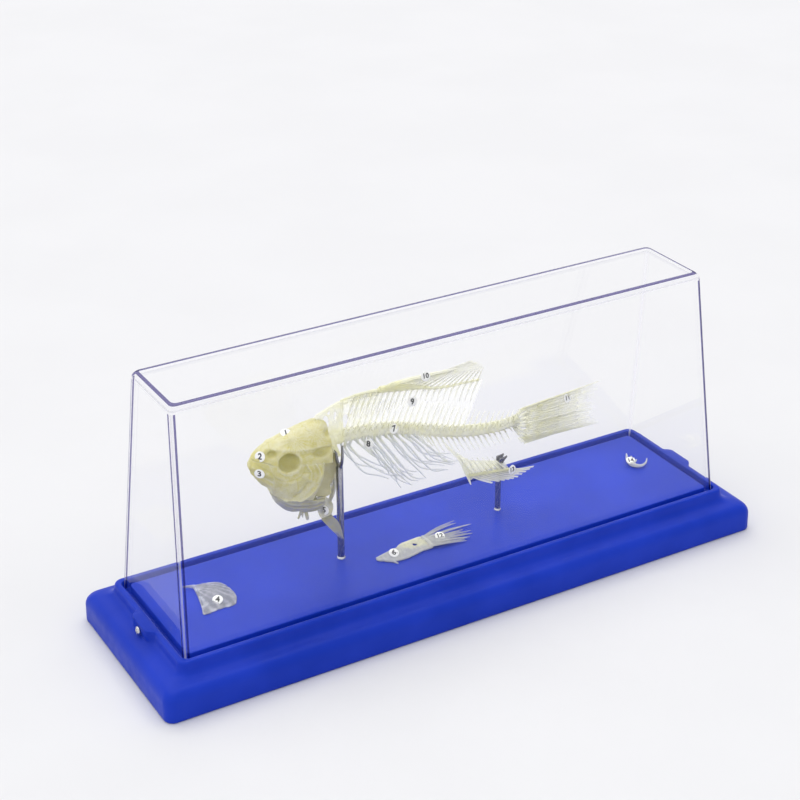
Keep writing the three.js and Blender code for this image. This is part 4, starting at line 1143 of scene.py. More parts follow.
def lower_jaw_field(clay):
    """The two halves of the lower jaw, meeting at the chin, hollow between them behind."""
    field = cut(clay.form, -clay.above(MOUTH_LINE) - LAP, clay.before(JAW_BACK) - LAP)
    ridge = 0.4 * clay.near_line([(-94.6, 82.0), (-91.6, 78.6), (-88.6, 75.8), (-86.0, 71.6)], 1.0)
    slot = 0.16 * clay.near_line([(-92.6, 80.8), (-89.6, 76.4), (-87.0, 71.0)], 0.35)
    seam = 0.35 * bell(clay.y, 0.22)
    field = field - ridge + slot + seam - 0.07 * clay.cloudy(4.4, 1.0)
    return scoop(field, clay.ball((-86.0, 0, 70.5), (5.0, 3.4, 6)), 0.8)


def cheek_field(clay, side):
    """The plates round and below the eye, the palate under them and the curved bone before the gill cover."""
    solid = 9.0 * np.exp(-((clay.away(EYE_X, EYE_Z) / 6.6) ** 6))  # the plates are thick round the eye
    field = cut(clay.form, -(clay.form + 2.6 + solid), -clay.above(ROOF_LINE) - LAP, -LAP - clay.eye_zone())
    field = cut(field, clay.above(THROAT_LINE) + 0.05, -clay.before(JAW_BACK) - LAP, clay.before(CHEEK_BACK))
    field = cut(field, MIDDLE_GAP - side * clay.y)
    field = clay.without_eye(field, side)
    seams = [
        [(-89, 84), (-86, 80.2), (-83.4, 78.6), (-79, 78.2), (-74.6, 79.4), (-72.4, 83.2), (-72, 88)],
        [(-83.4, 78.6), (-84.4, 73), (-86, 69.5)],
        [(-76.6, 78.3), (-76, 72), (-77, 66.5)],
        [(-73.6, 81), (-70.6, 80.4), (-68.2, 80.8)],
        [(-84.6, 83), (-83, 81.4)],
    ]
    relief = 0.22 * clay.brow(0.8) + 0.10 * clay.cloudy(4.6, 3.0)
    for seam in seams:
        relief = relief - 0.2 * clay.near_line(seam, 0.4)
    for ridge, height, width in (
        ([(-63.6, 88), (-63.4, 81), (-65.6, 73), (-69.6, 67.4), (-75, 64.6), (-83, 66.4)], 0.9, 1.0),
        ([(-68.9, 91), (-68.4, 87.6), (-67.0, 84.2), (-65.0, 78.6), (-66.4, 74.0)], 0.8, 0.6),
        ([(-65.6, 89.9), (-64.9, 86.6), (-62.9, 83.6)], 0.6, 0.5),
        ([(-71.8, 88), (-71.4, 84.0), (-69.4, 80.2), (-69.8, 76.0)], 0.6, 0.6),
        ([(-88.4, 83), (-84, 79.6), (-79.4, 76.4), (-75, 77.4)], 0.22, 0.9),
    ):
        relief = relief + height * clay.near_line(ridge, width)
    dip = 0.8 * clay.near_line([(-71.6, 74), (-73.4, 70.4), (-77, 68.2)], 1.5)
    relief = relief - dip + 0.09 * rays_from(clay, -80, 73.4, 30, 6) + 0.08 * rays_from(clay, -70.4, 76, 24, 5)
    return field - relief


def gill_cover_field(clay):
    """The right gill cover: a thin dished plate with a rib inside and fine growth rings."""
    edge = [(-66.4, 70), (-64.6, 82.2), (-59, 81.6), (-52.4, 82.2), (-48.4, 76), (-47.4, 68)]
    edge += [(-49.6, 61), (-54.6, 57), (-61, 57.6), (-67.4, 61)]
    field = cut(clay.form, -(clay.form + 1.0), clay.outline(edge), 1.4 - clay.y)
    rings = np.sin(clay.away(*GROWTH) * 2.4)
    field = field - 0.07 * rings - 0.07 * rays_from(clay, *GROWTH, 36, 14)
    field = cut(field, -np.maximum(-52.4 - clay.x, clay.y - 4.3))  # room for the front pin's fork
    strut = clay.rod([(-64.6, 8.4, 80), (-60, 8.8, 76), (-55, 8.0, 70)], (0.9, 0.6, 0.3), 0.7)
    return melt(field, strut, 0.8)


def throat_field(clay):
    """The thin keel under the head, the curved rays that fan under the gills, and two stalks below."""
    field = cut(clay.form, -(clay.form + 1.5), -clay.above(THROAT_LINE) + 0.12)
    field = cut(field, -clay.before(JAW_BACK) - LAP, clay.x + 60.2)
    relief = 0.08 * clay.cloudy(4.2, 5.0)
    for drop in (0.0, 3.0, 6.0):
        curve = [(-84, 66.4 - drop * 0.5), (-77, 62.6 - drop * 0.8), (-69, 60.6 - drop), (-61, 60.4 - drop)]
        relief = relief + 0.5 * clay.near_line(curve, 0.7)
    field = field - relief
    for line, radii in (
        ([(-68.6, 0.4, 58), (-70, 0.2, 54.4), (-72, -0.4, 51.2)], (1.3, 0.9, 0.55)),
        ([(-68.6, 0.4, 57), (-69.4, 0.2, 53.8), (-69.6, -0.2, 51.0)], (1.2, 0.7, 0.4)),
        ([(-68, 0.6, 58), (-67.6, 0.4, 53.6), (-67, 0, 49.4)], (1.4, 1.0, 0.9)),
        ([(-65.4, 0.4, 56.6), (-64.8, 0.2, 54.2), (-64.0, -0.2, 52.6)], (0.8, 0.6, 0.4)),
    ):
        field = melt(field, clay.rod(line, radii, 0.7), 0.6)
    return field


def hollow_shade(points):
    """How deep in a hollow each point of the head lies, from 0 outside to 1, for the olive painted shade there: the eye
    sockets, darker towards their top, the nostrils and a band on the right gill cover.
    """
    x, y, z = points.T
    eye = np.sqrt(((x - EYE_X) / EYE_R) ** 2 + ((z - EYE_Z) / (EYE_R - 0.4)) ** 2)
    socket = np.clip((1.02 - eye) / 0.22, 0, 1) * (0.3 + 0.7 * np.clip((z - EYE_Z + 3) / 6, 0, 1))
    nose = np.sqrt(((x - NOSTRIL_X) / 2.8) ** 2 + ((z - NOSTRIL_Z) / 2.1) ** 2)
    nasal = np.clip((1.05 - nose) / 0.3, 0, 1) * 0.7
    gill = np.clip((x + 66.5) / 2, 0, 1) * np.clip((z - 72) / 6, 0, 1) * np.clip((86 - z) / 3, 0, 1)
    return np.clip(np.maximum(np.maximum(socket, nasal), 0.6 * gill * (y > 0)), 0, 1)


def head_warmth(points):
    """Yellow on the forehead and snout, paler on the roof's edge and fading to grey below."""
    x, _, z = points.T
    forehead = np.clip((z - 88) / 8, 0, 1) * 0.35
    cheek = np.clip((z - 66) / 14, 0, 1) * 0.6
    snout = np.clip((-88 - x) / 6, 0, 1) * 0.3
    return np.clip(0.15 + cheek - forehead * 0.5 + snout, 0, 1)


def head_piece(name, clay, field, finish, nodes):
    """A bone of the head, darkened olive and warmer in its hollows and creases as painted shade, and paler on its
    ridges.
    """
    points, faces = clay.skin(field)
    out = points * (0, 1, 1) - (0, 0, HEAD_MIDDLE_Z)
    out /= np.linalg.norm(out, axis=1)[:, None] + 1e-6
    dip = np.sum((relax(points, faces) - points) * out, axis=1) / 0.035
    mould = Mould()
    # Painted shade: warmer, darker yellow in the creases, and paler on the ridges.
    mould.add(points, faces.tolist(), np.clip(head_warmth(points) + np.clip(dip, -0.6, 0.4), 0, 1))
    # Painted shade: olive in the hollows and creases.
    tone_and_shade = np.maximum(hollow_shade(points), 0.45 * np.clip(dip, 0, 1))
    return fish_piece(name, mould, [finish], nodes, tone_and_shade)


def make_head(settings):
    clay = HeadClay(settings.grain / MM)
    skull = bone_finish(
        "Skull bone",
        tuple(settings.skull_pale),
        tuple(settings.skull_warm),
        tuple(settings.hollow_shade_olive),
        roughness=0.4,
        glow=0.3,
        lit=0.12,
        oil=0.2,
    )
    # The throat's grey is partly painted shade of the underside.
    throat = bone_finish(
        "Throat bone",
        tuple(settings.throat_grey_and_shade),
        tuple(settings.skull_warm),
        tuple(settings.hollow_shade_olive),
        glow=0.2,
        lit=0.2,
        sheer=0.12,
    )
    for name, field, node in (
        ("cranium_bone", cranium_field(clay), "cranium"),
        ("upper_jaw_bone", upper_jaw_field(clay), "upper_jaw"),
        ("lower_jaw_bone", lower_jaw_field(clay), "lower_jaw"),
        ("cheek_bones_left", cheek_field(clay, -1), "cheek_left"),
        ("cheek_bones_right", cheek_field(clay, 1), "cheek_right"),
        ("gill_cover_plate", gill_cover_field(clay), "gill_cover_right"),
    ):
        head_piece(name, clay, field, skull, [node])
    head_piece("throat_bones", clay, throat_field(clay), throat, ["throat"])


# ---------------------------------------------------------------- backbone and ribs
def vertebra_x(i):
    return COLUMN_START_X + (i + 0.5) * PITCH


def vertebra_r(i):
    return mix(2.5, 1.95, i / (VERTEBRAE - 1))


def upper_height(i):
    """Height of a spine above the backbone's middle: even in front, falling towards the tail."""
    behind = i - 16
    return 14.2 if behind < 0 else mix(14, 7, behind / (VERTEBRAE - 17))


def lower_height(i):
    if i > VERTEBRAE - 3:
        return 4.6
    return mix(13, 8.4, (i - FIRST_TAIL_VERTEBRA) / (VERTEBRAE - 1 - FIRST_TAIL_VERTEBRA))


def column_tangent(x):
    return Vector((1.0, 0, (column_z(x + 0.5) - column_z(x - 0.5)))).normalized()


def add_centrum(mould, i):
    """A spool: hollow-ended, waisted, ribbed along its flanks."""
    radius, x = vertebra_r(i), vertebra_x(i)
    centre, along = Vector((x, 0, column_z(x))), column_tangent(x)
    up = Vector((-along.z, 0, along.x))
    half = [(-0.3, 0.35), (-0.495, 0.9), (-0.49, 1.0), (-0.4, 1.0), (-0.22, 0.88), (0.0, 0.84)]
    rings = []
    for share, size in half + [(-share, size) for share, size in half[-2::-1]]:
        ring = []
        for turn in turns(20):
            r = radius * (size + 0.05 * math.cos(turn * 5 + i) * (1 - abs(share) * 2))
            across = Vector((0, r * math.cos(turn), 0))
            ring.append(centre + along * (share * PITCH) + up * (r * math.sin(turn)) + across)
        rings.append(ring)
    mould.loft(rings, warmth=(0.6, 0.3, 0.2, 0.3, 0.6))


def add_upper_spine(mould, i):
    """The arch over the nerve cord, its small joint pegs and the long spine leaning back."""
    radius, x, height = vertebra_r(i), vertebra_x(i), upper_height(i)
    z = column_z(x)
    join = Vector((x + 3.6 * SPINE_LEAN, 0, z + radius + 1.8))
    tip = Vector((x + height * SPINE_LEAN, 0, z + height))
    for side in (-1, 1):
        foot = Vector((x - 0.5, side * radius * 0.62, z + radius * 0.72))
        shoulder = Vector((x + 0.1, side * radius * 0.5, z + radius + 0.9))
        mould.tube([foot, shoulder, join], (0.95, 0.75, 0.5), 8, warmth=(0.35, 0.2))
        peg = Vector((x + 0.42 * PITCH, side * radius * 0.5, z + radius + 0.55))
        mould.tube([shoulder, peg], (0.75, 0.5), 7, warmth=0.35)
    line = bowed(join, tip, (-0.25, 0.15 * math.sin(i * 1.9), 0.1), 8)
    mould.tube(line, (0.55, 0.4, 0.3, 0.2), 7, flat=0.8, warmth=(0.2, 0.0), finish=1)


def add_lower_spine(mould, i):
    """The arch under a tail vertebra and its spine."""
    radius, x, height = vertebra_r(i), vertebra_x(i), lower_height(i)
    z = column_z(x)
    join = Vector((x + 2.6 * LOWER_LEAN, 0, z - radius - min(1.6, height * 0.25)))
    tip = Vector((x + height * LOWER_LEAN, 0, z - height))
    for side in (-1, 1):
        foot = Vector((x - 0.4, side * radius * 0.55, z - radius * 0.75))
        bend = foot.lerp(join, 0.5) + Vector((0, side * 0.2, 0))
        mould.tube([foot, bend, join], (0.55, 0.42, 0.36), 7, warmth=(0.5, 0.2))
    line = bowed(join, tip, (-0.2, 0.12 * math.sin(i * 2.3), 0), 8)
    mould.tube(line, (0.5, 0.36, 0.28, 0.2), 7, flat=0.8, warmth=(0.15, 0.0), finish=1)


# The course of each left rib in the middle plane, [x, z] from its head to its tip
RIB_COURSES = [
    [(-47.4, 84.2), (-44.2, 76.6), (-38.4, 68.9), (-30.4, 64.8), (-24.6, 61.0)],
    [(-45.0, 84.6), (-39.9, 76.2), (-32.1, 69.0), (-24.1, 63.2), (-15.0, 59.4)],
    [(-40.8, 85.0), (-34.4, 77.6), (-28.1, 71.6), (-22.8, 64.4), (-20.1, 57.6), (-17.2, 53.3)],
    [(-37.6, 84.8), (-30.8, 79.0), (-25.4, 72.4), (-20.1, 62.9), (-12.4, 54.2)],
    [(-34.6, 84.0), (-31.2, 77.4), (-25.4, 68.2), (-22.1, 62.7), (-18.2, 58.2), (-10.9, 53.0)],
    [(-31.2, 83.6), (-27.4, 77.0), (-21.8, 68.6), (-17.0, 61.8), (-12.6, 57.2), (-7.8, 54.6)],
    [(-28.2, 83.4), (-23.9, 76.6), (-18.2, 67.7), (-12.6, 59.4), (-7.9, 56.1), (-4.4, 54.8)],
    [(-24.8, 83.0), (-18.9, 76.6), (-13.3, 67.7), (-7.2, 59.9), (-3.4, 55.0)],
    [(-21.6, 82.4), (-17.4, 75.8), (-10.9, 66.7), (-5.2, 61.2), (7.6, 56.4)],
    [(-18.6, 81.8), (-12.6, 74.6), (-5.2, 64.2), (0.3, 58.6), (9.6, 55.8)],
    [(-15.4, 81.0), (-9.4, 75.4), (-2.4, 65.4), (5.4, 61.2), (12.2, 57.8)],
    [(-12.2, 80.0), (-6.4, 74.2), (0.4, 65.6), (7.6, 61.4), (14.2, 57.4)],
    [(-8.8, 79.2), (-1.2, 71.6), (6.2, 63.2), (10.6, 60.6), (15.4, 59.4)],
]


def rib_line(i, side):
    """The line of a rib from the side of its vertebra. The right ribs stray a little from the left ones."""
    course = RIB_COURSES[i]
    points = []
    for k, (x, z) in enumerate(course):
        share = k / (len(course) - 1)
        stray = share * (1.4 * math.sin(i * 2.4 + 1.3) + 0.7 * math.sin(i * 5.1 + k)) if side > 0 else 0
        out = spread([1.7, 4.8, 5.6, 5.2, 3.8], share) * mix(1.0, 0.8, i / (RIB_COUNT - 1))
        out += 0.5 * math.sin(i * 3.7 + k * 1.9) * share
        points.append(Vector((x + stray * 1.5 + (1.0 * share if side > 0 else 0), side * out, z - stray)))
    return smooth_line(points, 44)


def make_ribs(settings, finish):
    for side, name, node in ((-1, "left_ribs", "ribs_left"), (1, "right_ribs", "ribs_right")):
        mould = Mould()
        radius = settings.rib_radius / MM
        for i in range(RIB_COUNT):
            sizes = [radius * k for k in (1.05, 0.85, 0.78, 0.72, 0.6, 0.35)]
            mould.tube(rib_line(i, side), sizes, 8, flat=0.85, warmth=(0.4, 0.05, 0.0, 0.0))
            x = vertebra_x(i)
            socket = Vector((x, side * vertebra_r(i) * 0.72, column_z(x) - vertebra_r(i) * 0.45))
            mould.tube([socket, rib_line(i, side)[1]], (0.75, 0.6), 8, warmth=0.4)
        fish_piece(name, mould, [finish], [node])


def make_backbone(finish, spine_finish):
    front, middle, rear = Mould(), Mould(), Mould()
    for i in range(VERTEBRAE):
        mould = front if i < RIB_COUNT else middle if i <= MIDDLE_END else rear
        add_centrum(mould, i)
        add_upper_spine(mould, i)
        if i >= FIRST_TAIL_VERTEBRA:
            add_lower_spine(mould, i)
        elif i >= RIB_COUNT:
            x, z, radius = vertebra_x(i), column_z(vertebra_x(i)), vertebra_r(i)
            down = mix(9, 6, (i - RIB_COUNT) / 4)
            for side in (-1, 1):
                course = [(x, side * radius * 0.6, z - 0.6), (x + down * 0.2, side * 2.4, z - down * 0.5)]
                line = smooth_line([*course, (x + down * 0.5, side * 2.2, z - down)], 8)
                middle.tube(line, (0.6, 0.45, 0.3), 7, warmth=(0.3, 0.0), finish=1)
    for part, mould in (("front", front), ("middle", middle), ("rear", rear)):
        fish_piece(part + "_backbone", mould, [finish, spine_finish], ["backbone_" + part])


def make_neck(finish):
    """The joined neck vertebrae with their wings, hanging struts and the tall pierced plate above."""
    clay = Clay((-62.8, -8.2, 78.5), (-46.4, 8.2, 108.0), 0.22)
    field = clay.rod([(x, 0, column_z(x)) for x in (-56.3, -52.5, -48.8)], (3.2, 2.9, 2.6))
    for x in (-55.0, -53.0, -50.8):
        field = field + 0.28 * bell(clay.x - x, 0.3)
    for side in (-1, 1):
        wing = clay.rod([(-54.4, 0, 87.8), (-53.6, side * 4.4, 86.2), (-52, side * 6.6, 82.8)], (1.5, 0.9, 0.45))
        course = [(-52.4, side * 1.2, 86), (-51.2, side * 3.2, 82.6), (-50.6, side * 2.4, 79.8)]
        strut = clay.rod(course, (1.0, 0.6, 0.4))
        field = melt(melt(field, wing, 0.8), strut, 0.6)
    edge = [(-57.6, 90.4), (-48.0, 89.6), (-47.5, 98), (-47.4, 106.6), (-52.4, 105.7)]
    edge += [(-57.2, 104.0), (-61.2, 102.2), (-59.0, 99.6), (-58.4, 95.0)]
    crest = np.maximum(clay.outline(edge, 3), np.abs(clay.y) - 0.32)
    rim = np.abs(clay.outline(edge, 3)) - 0.5
    crest = melt(crest, np.maximum(np.abs(clay.y) - 0.6, rim), 0.4)
    crest = crest - 0.25 * clay.near_line([(-52.2, 89), (-52.6, 96), (-51.6, 105)], 0.6)
    crest = crest - 0.2 * clay.near_line([(-49.6, 89), (-49.4, 97), (-49.2, 105)], 0.4)
    for x, z, rx, rz in ((-56.0, 97.6, 1.7, 4.0), (-50.8, 99.8, 0.8, 2.6), (-54.2, 102.6, 0.8, 0.9)):
        crest = scoop(crest, clay.ball((x, 0, z), (rx, 6, rz)), 0.3)
    field = melt(field, crest, 0.7)
    points, faces = clay.skin(field)
    mould = Mould()
    warmth = np.clip(0.85 - (points[:, 2] - 88) / 14, 0.15, 1) + 0.35 * np.clip((points[:, 2] - 102) / 3, 0, 1)
    mould.add(points, faces.tolist(), np.clip(warmth, 0, 1))
    return fish_piece("neck_bones", mould, [finish], ["neck"])


# ---------------------------------------------------------------- fins
FIRST_BEARER, FIRST_FIN_BEARER, FIRST_RAY_BEARER, LAST_FIN_BEARER = -1, 3, 8, 20
# The front edge of the back fin
DORSAL_EDGE = [(-24.2, -0.1, 107.8), (-15.7, -0.3, 109.3), (-2.4, -0.6, 109.4), (9.4, -0.8, 109.0), (16.6, -1, 108.5)]


def bearer(i):
    """Foot and head of the slim bone behind upper spine i that reaches the ridge."""
    x = vertebra_x(i) + PITCH / 2
    low = upper_height(i) - 5
    foot = Vector((x + low * SPINE_LEAN, 0, column_z(vertebra_x(i)) + low))
    head = foot.copy()
    for _ in range(6):
        head.z = ridge_z(head.x)
        head.x = foot.x + (head.z - foot.z) * SPINE_LEAN
    return foot, head


def add_bearer(mould, i, width, warmth, web_finish, rib_finish=0):
    """A bearer: a thin blade that widens towards its head, with a stiff rib down its middle."""
    foot, head = bearer(i)
    foot = foot.lerp(head, 0.45 * ease((i - 5) / 6))
    line = bowed(foot, head, (-0.3, 0, 0.2), 10)
    size = mix(1.0, 0.6, ease((i - 5) / 6))
    mould.tube(line, [size * r for r in (0.2, 0.36, 0.46, 0.6)], 8, flat=0.8, warmth=warmth, finish=rib_finish)
    reach = Vector((1, 0, -SPINE_LEAN)).normalized()
    for side in (-1, 1):
        edge = [p + reach * (side * width * ease(k / 10) + side * 0.1) for k, p in enumerate(line)]
        mould.web(line, edge, 0.22, warmth=warmth, finish=web_finish)


def add_sheet(mould, start, end, finish, gaps=()):
    """The dried skin between the backbone and the ridge, from one x to another along the ridge, left open round
    each gap [x, z, half width, half height]."""
    rows, steps = 28, int((end - start) * 2)
    columns = []
    for k in range(steps + 1):
        head = Vector((mix(start, end, k / steps), 0.1 * math.sin(k * 0.5), 0))
        head.z = ridge_z(head.x)
        foot = head.copy()
        for _ in range(6):
            foot.x = head.x - (head.z - foot.z) * SPINE_LEAN
            foot.z = column_z(foot.x) + 3.2
        columns.append([head.lerp(foot, row / rows) for row in range(rows + 1)])
    kept = set()
    for k in range(steps):
        for row in range(rows):
            middle = (columns[k][row] + columns[k + 1][row + 1]) / 2
            if all(((middle.x - x) / w) ** 2 + ((middle.z - z) / h) ** 2 > 1 for x, z, w, h in gaps):
                kept.add((k, row))
    number, points, warmth, faces = {}, [], [], []

    def at(k, row, lift):
        if (k, row, lift) not in number:
            number[(k, row, lift)] = len(points)
            points.append(columns[k][row] + Vector((0, lift, 0)))
            warmth.append(spread([0.45, 0.2, 0.15, 0.35], row / rows))
        return number[(k, row, lift)]

    for k, row in sorted(kept):
        corners = [(k, row), (k + 1, row), (k + 1, row + 1), (k, row + 1)]
        for lift in (-0.07, 0.07):
            faces.append(tuple(at(*corner, lift) for corner in corners))
        beyond = [(k, row - 1), (k + 1, row), (k, row + 1), (k - 1, row)]
        for a, b, cell in zip(corners, corners[1:] + corners[:1], beyond):
            if cell not in kept:
                faces.append((at(*a, -0.07), at(*b, -0.07), at(*b, 0.07), at(*a, 0.07)))
    mould.add(points, faces, warmth, finish)


def add_strands(mould, trunk, way, apart, radii, **look):
    """The three strands of a soft ray, which part along way over its outer length until they are apart."""
    steps = len(trunk) - 1
    for strand in (-1, 0, 1):
        fan = strand * apart
        line = [p + Vector(way) * (fan * ease((k / steps - 0.3) / 0.7)) for k, p in enumerate(trunk)]
        mould.tube(line, radii, 6, **look)


def make_nape_ridge(finish, skin):
    """The flat bearers between the head and the back fin, under one curved edge, in their dried skin."""
    mould = Mould()
    heads = [Vector((x, 0, ridge_z(x))) for x in (-47.6, -41.6)]
    for i in range(FIRST_BEARER, FIRST_FIN_BEARER):
        add_bearer(mould, i, 1.6, (0.1, 0.3), 1)
        heads.append(bearer(i)[1])
    heads.append(bearer(FIRST_FIN_BEARER)[1] + Vector((-0.8, 0, 0)))
    line = smooth_line(heads, 40)
    mould.tube(line, (0.55, 0.7, 0.95), 10, flat=0.8, warmth=(0.85, 0.6, 0.8))
    low = [p + Vector((0.5, 0, -2.6)) for p in line]
    mould.web(line, low, 0.3, warmth=(0.5, 0.4), finish=1)
    add_sheet(mould, -47.4, -25.0, 1, [(-45.6, 96.2, 2.1, 3.4), (-42.4, 101.0, 0.9, 2.0)])
    return fish_piece("nape_bones", mould, [finish, skin], ["nape_ridge"])


def dorsal_tip(share):
    return Vector((mix(23.4, 32.2, share), 0.7, mix(109.6, 104.8, share * share)))


def make_dorsal_fin(settings, finishes):
    """The back fin: bearers, the knobbed bar along their heads and the soft rays lying back."""
    mould = Mould()
    radius = settings.ray_radius / MM
    heads = []
    for i in range(FIRST_FIN_BEARER, LAST_FIN_BEARER + 1):
        share = (i - FIRST_FIN_BEARER) / (LAST_FIN_BEARER - FIRST_FIN_BEARER)
        add_bearer(mould, i, mix(1.2, 0.7, share), (0.0, 0.1, 0.5), 2, 3)
        head = bearer(i)[1]
        heads.append(head)
        size = mix(1.25, 0.7, ease(share * 1.6))
        mould.knob(head + Vector((0, 0, 0.1)), (size * 1.25, size * 0.8, size), warmth=mix(1.0, 0.6, share))
    bar = smooth_line(heads, 60)
    mould.tube(bar, (1.5, 1.4, 1.0, 0.72, 0.62, 0.55), 12, flat=0.8, warmth=(1.0, 1.0, 0.7, 0.5, 0.55))
    lobe = [p + Vector((0.4, 0, 1.0)) for p in bar[:26]]
    mould.tube(lobe, (1.1, 1.3, 1.0, 0.5), 10, flat=0.7, warmth=(1.0, 1.0, 0.8, 0.5))
    low = [p + Vector((0, 0.3, 0.2)) for p in bar[:31]]
    high = [p + Vector((0, 0.5, 0)) for p in smooth_line(DORSAL_EDGE, 30)]
    mould.web(low, high, 0.2, (0.8, 0.4, 0.2), 1)
    add_sheet(mould, -25.0, 31.2, 2)
    previous = None
    for i in range(FIRST_FIN_BEARER + 2, LAST_FIN_BEARER + 1):
        root = bearer(i)[1] + Vector((0.2, 0, 0.6))
        share = (i - FIRST_RAY_BEARER) / (LAST_FIN_BEARER - FIRST_RAY_BEARER)
        tip = dorsal_tip(max(share, 0.0)) if share >= 0 else Vector((mix(8, 20, (share + 0.3) / 0.3), 0.5, 108.4))
        trunk = bowed(root, tip, (0, 0.1 * math.sin(i * 2.0), 0.5), 24, 0.4)
        sizes = [radius * k for k in (1.0, 0.75, 0.5, 0.3)]
        add_strands(mould, trunk, (0.25, 0.12, 1.0), 0.55, sizes, flat=0.8, warmth=(0.4, 0.05, 0.0), finish=3)
        if previous and i > FIRST_RAY_BEARER:
            mould.web(previous[:17], trunk[:17], 0.1, finish=2)
        previous = trunk
    return fish_piece("back_fin", mould, finishes, ["dorsal_fin"])


def make_dorsal_spine(finish):
    """The strong saw-backed spine that leads the back fin, with the short ones at its foot."""
    line = smooth_line(DORSAL_EDGE, 48)
    mould = Mould()
    mould.tube(line, (1.2, 1.0, 0.85, 0.65, 0.35), 10, flat=0.75, warmth=(0.9, 0.5, 0.25, 0.1))
    for k in range(16, 46, 2):
        base = line[k]
        mould.tube([base, base + Vector((-0.3, 0, -0.95))], (0.28, 0.08), 5, warmth=0.2)
    for lift, reach in ((0.5, 9.0), (0.9, 5.5)):
        start = line[0] + Vector((0.6 + lift, 0, lift))
        course = [start, start + Vector((reach * 0.5, -0.2, 1.1)), start + Vector((reach, -0.2, 1.2))]
        mould.tube(smooth_line(course, 12), (0.6, 0.5, 0.2), 8, warmth=(0.9, 0.4))
    return fish_piece("back_fin_spine", mould, [finish], ["dorsal_fin_spine"])


def make_tail_fan(finish):
    """The fan of wedge plates at the end of the backbone that carries the tail fin."""
    mould = Mould()
    tops = [76.9, 74.2, 71.5, 68.9, 66.6, 63.9, 60.9, 58.0, 55.2]
    for k in range(8):
        ends = []
        for high, share in ((tops[k] - 0.06, k / 8), (tops[k + 1] + 0.06, (k + 1) / 8)):
            start = Vector((mix(50.0, 49.0, share), 0, column_z(50) + mix(1.7, -1.8, share)))
            belly = Vector((54.0, 0, mix(start.z, high, mix(0.8, 0.6, share))))
            ends.append(smooth_line([start, belly, (TAIL_ROOT_X + 1.0 + 1.3 * math.sin(k * 2.1), 0, high)], 12))
        mould.web(ends[0], ends[1], (0.7, 0.5, 0.3, 0.08), warmth=(0.5, 0.2, 0.5))
        middle = [p.lerp(q, 0.5) for p, q in zip(*ends)]
        mould.tube(middle, (0.5, 0.4, 0.32, 0.15), 8, flat=1.1, warmth=(0.4, 0.15, 0.4))
    hub = Vector((50.5, 0, column_z(50.5)))
    mould.tube([hub, hub + Vector((2.6, 0, 1.0))], (2.0, 1.1), 12, warmth=0.4)
    return fish_piece("tail_fan_plates", mould, [finish], ["tail_fan"])


def tail_tip(lobe, share):
    x = mix(101.5, 104.2 if lobe > 0 else 105.2, share) - 3 * math.sin(math.pi * share)
    return Vector((x, 0, TAIL_MIDDLE_Z + lobe * mix(0.2, 13.4 if lobe > 0 else 10.8, share) - 1.2 * (1 - share)))


def make_tail_lobe(settings, lobe, name, node, finishes):
    """Half of the tail fin: rays side by side that split towards their ends, on a thin skin."""
    radius = settings.ray_radius / MM
    rays, strands, steps = 9, 4, 30
    mould = Mould()
    previous = None
    for ray in range(rays):
        share = (ray + 0.2) / (rays - 0.6)
        start = TAIL_ROOT_X - 0.6 + 0.9 * math.sin(ray * 2.3)
        root = Vector((start, 0, TAIL_MIDDLE_Z + lobe * mix(0.4, 10.0 if lobe > 0 else 10.6, share)))
        tip = tail_tip(lobe, share)
        tip.x -= 4.5 * (0.5 + 0.5 * math.sin(ray * 2.7 + lobe)) * (1 - 0.6 * share)
        trunk = bowed(root, tip, (0, 0.25 * math.sin(ray * 1.7), lobe * mix(-0.4, -0.6, share)), steps, 0.45)
        for strand in range(strands):
            fan = strand - (strands - 1) / 2
            line = []
            for k, point in enumerate(trunk):
                run = k / steps
                gap = mix(0.2, 0.42, ease((run - 0.3) / 0.7))
                off = Vector((0, 0.12 * math.sin(ray * 3 + strand * 2.2) * run, lobe * fan * gap))
                line.append(point + off)
            end = steps - int(4 * (0.5 + 0.5 * math.sin(ray * 5 + strand * 3)))
            sizes = [radius * k for k in (0.3, 0.85, 0.7, 0.5, 0.28)]
            mould.tube(line[: end + 1], sizes, 6, flat=1.1, warmth=(0.3, 0.3, 0.1, 0.0))
        if previous:
            mould.web(previous[:17], trunk[:17], 0.14, warmth=(0.45, 0.3, 0.1), finish=1)
            mould.web(previous[16:25], trunk[16:25], 0.1, warmth=(0.1, 0.0), finish=2)
        previous = trunk
    for k in range(4):  # short stout rays along the outer edge
        root = Vector((TAIL_ROOT_X - 4.4 + 0.6 * k, 0, TAIL_MIDDLE_Z + (9.4 + 0.2 * k if lobe > 0 else -6.6 - 0.9 * k)))
        tip = root.lerp(tail_tip(lobe, 1.0), 0.35 + 0.2 * k)
        tip.z += lobe * (0.3 - 0.1 * k)
        mould.tube(bowed(root, tip, (0, 0, -0.2 * lobe), 14), (0.3, 0.5, 0.4, 0.15), 7, warmth=(0.5, 0.5, 0.2))
    if lobe > 0:
        mould.knob((65.6, -0.2, 75.2), (1.9, 0.7, 0.9), warmth=1.6)
    return fish_piece(name, mould, finishes, [node])


def anal_root(share):
    return Vector((mix(23.4, 46, share), -3.7 * share, mix(46.6, 46, share)))


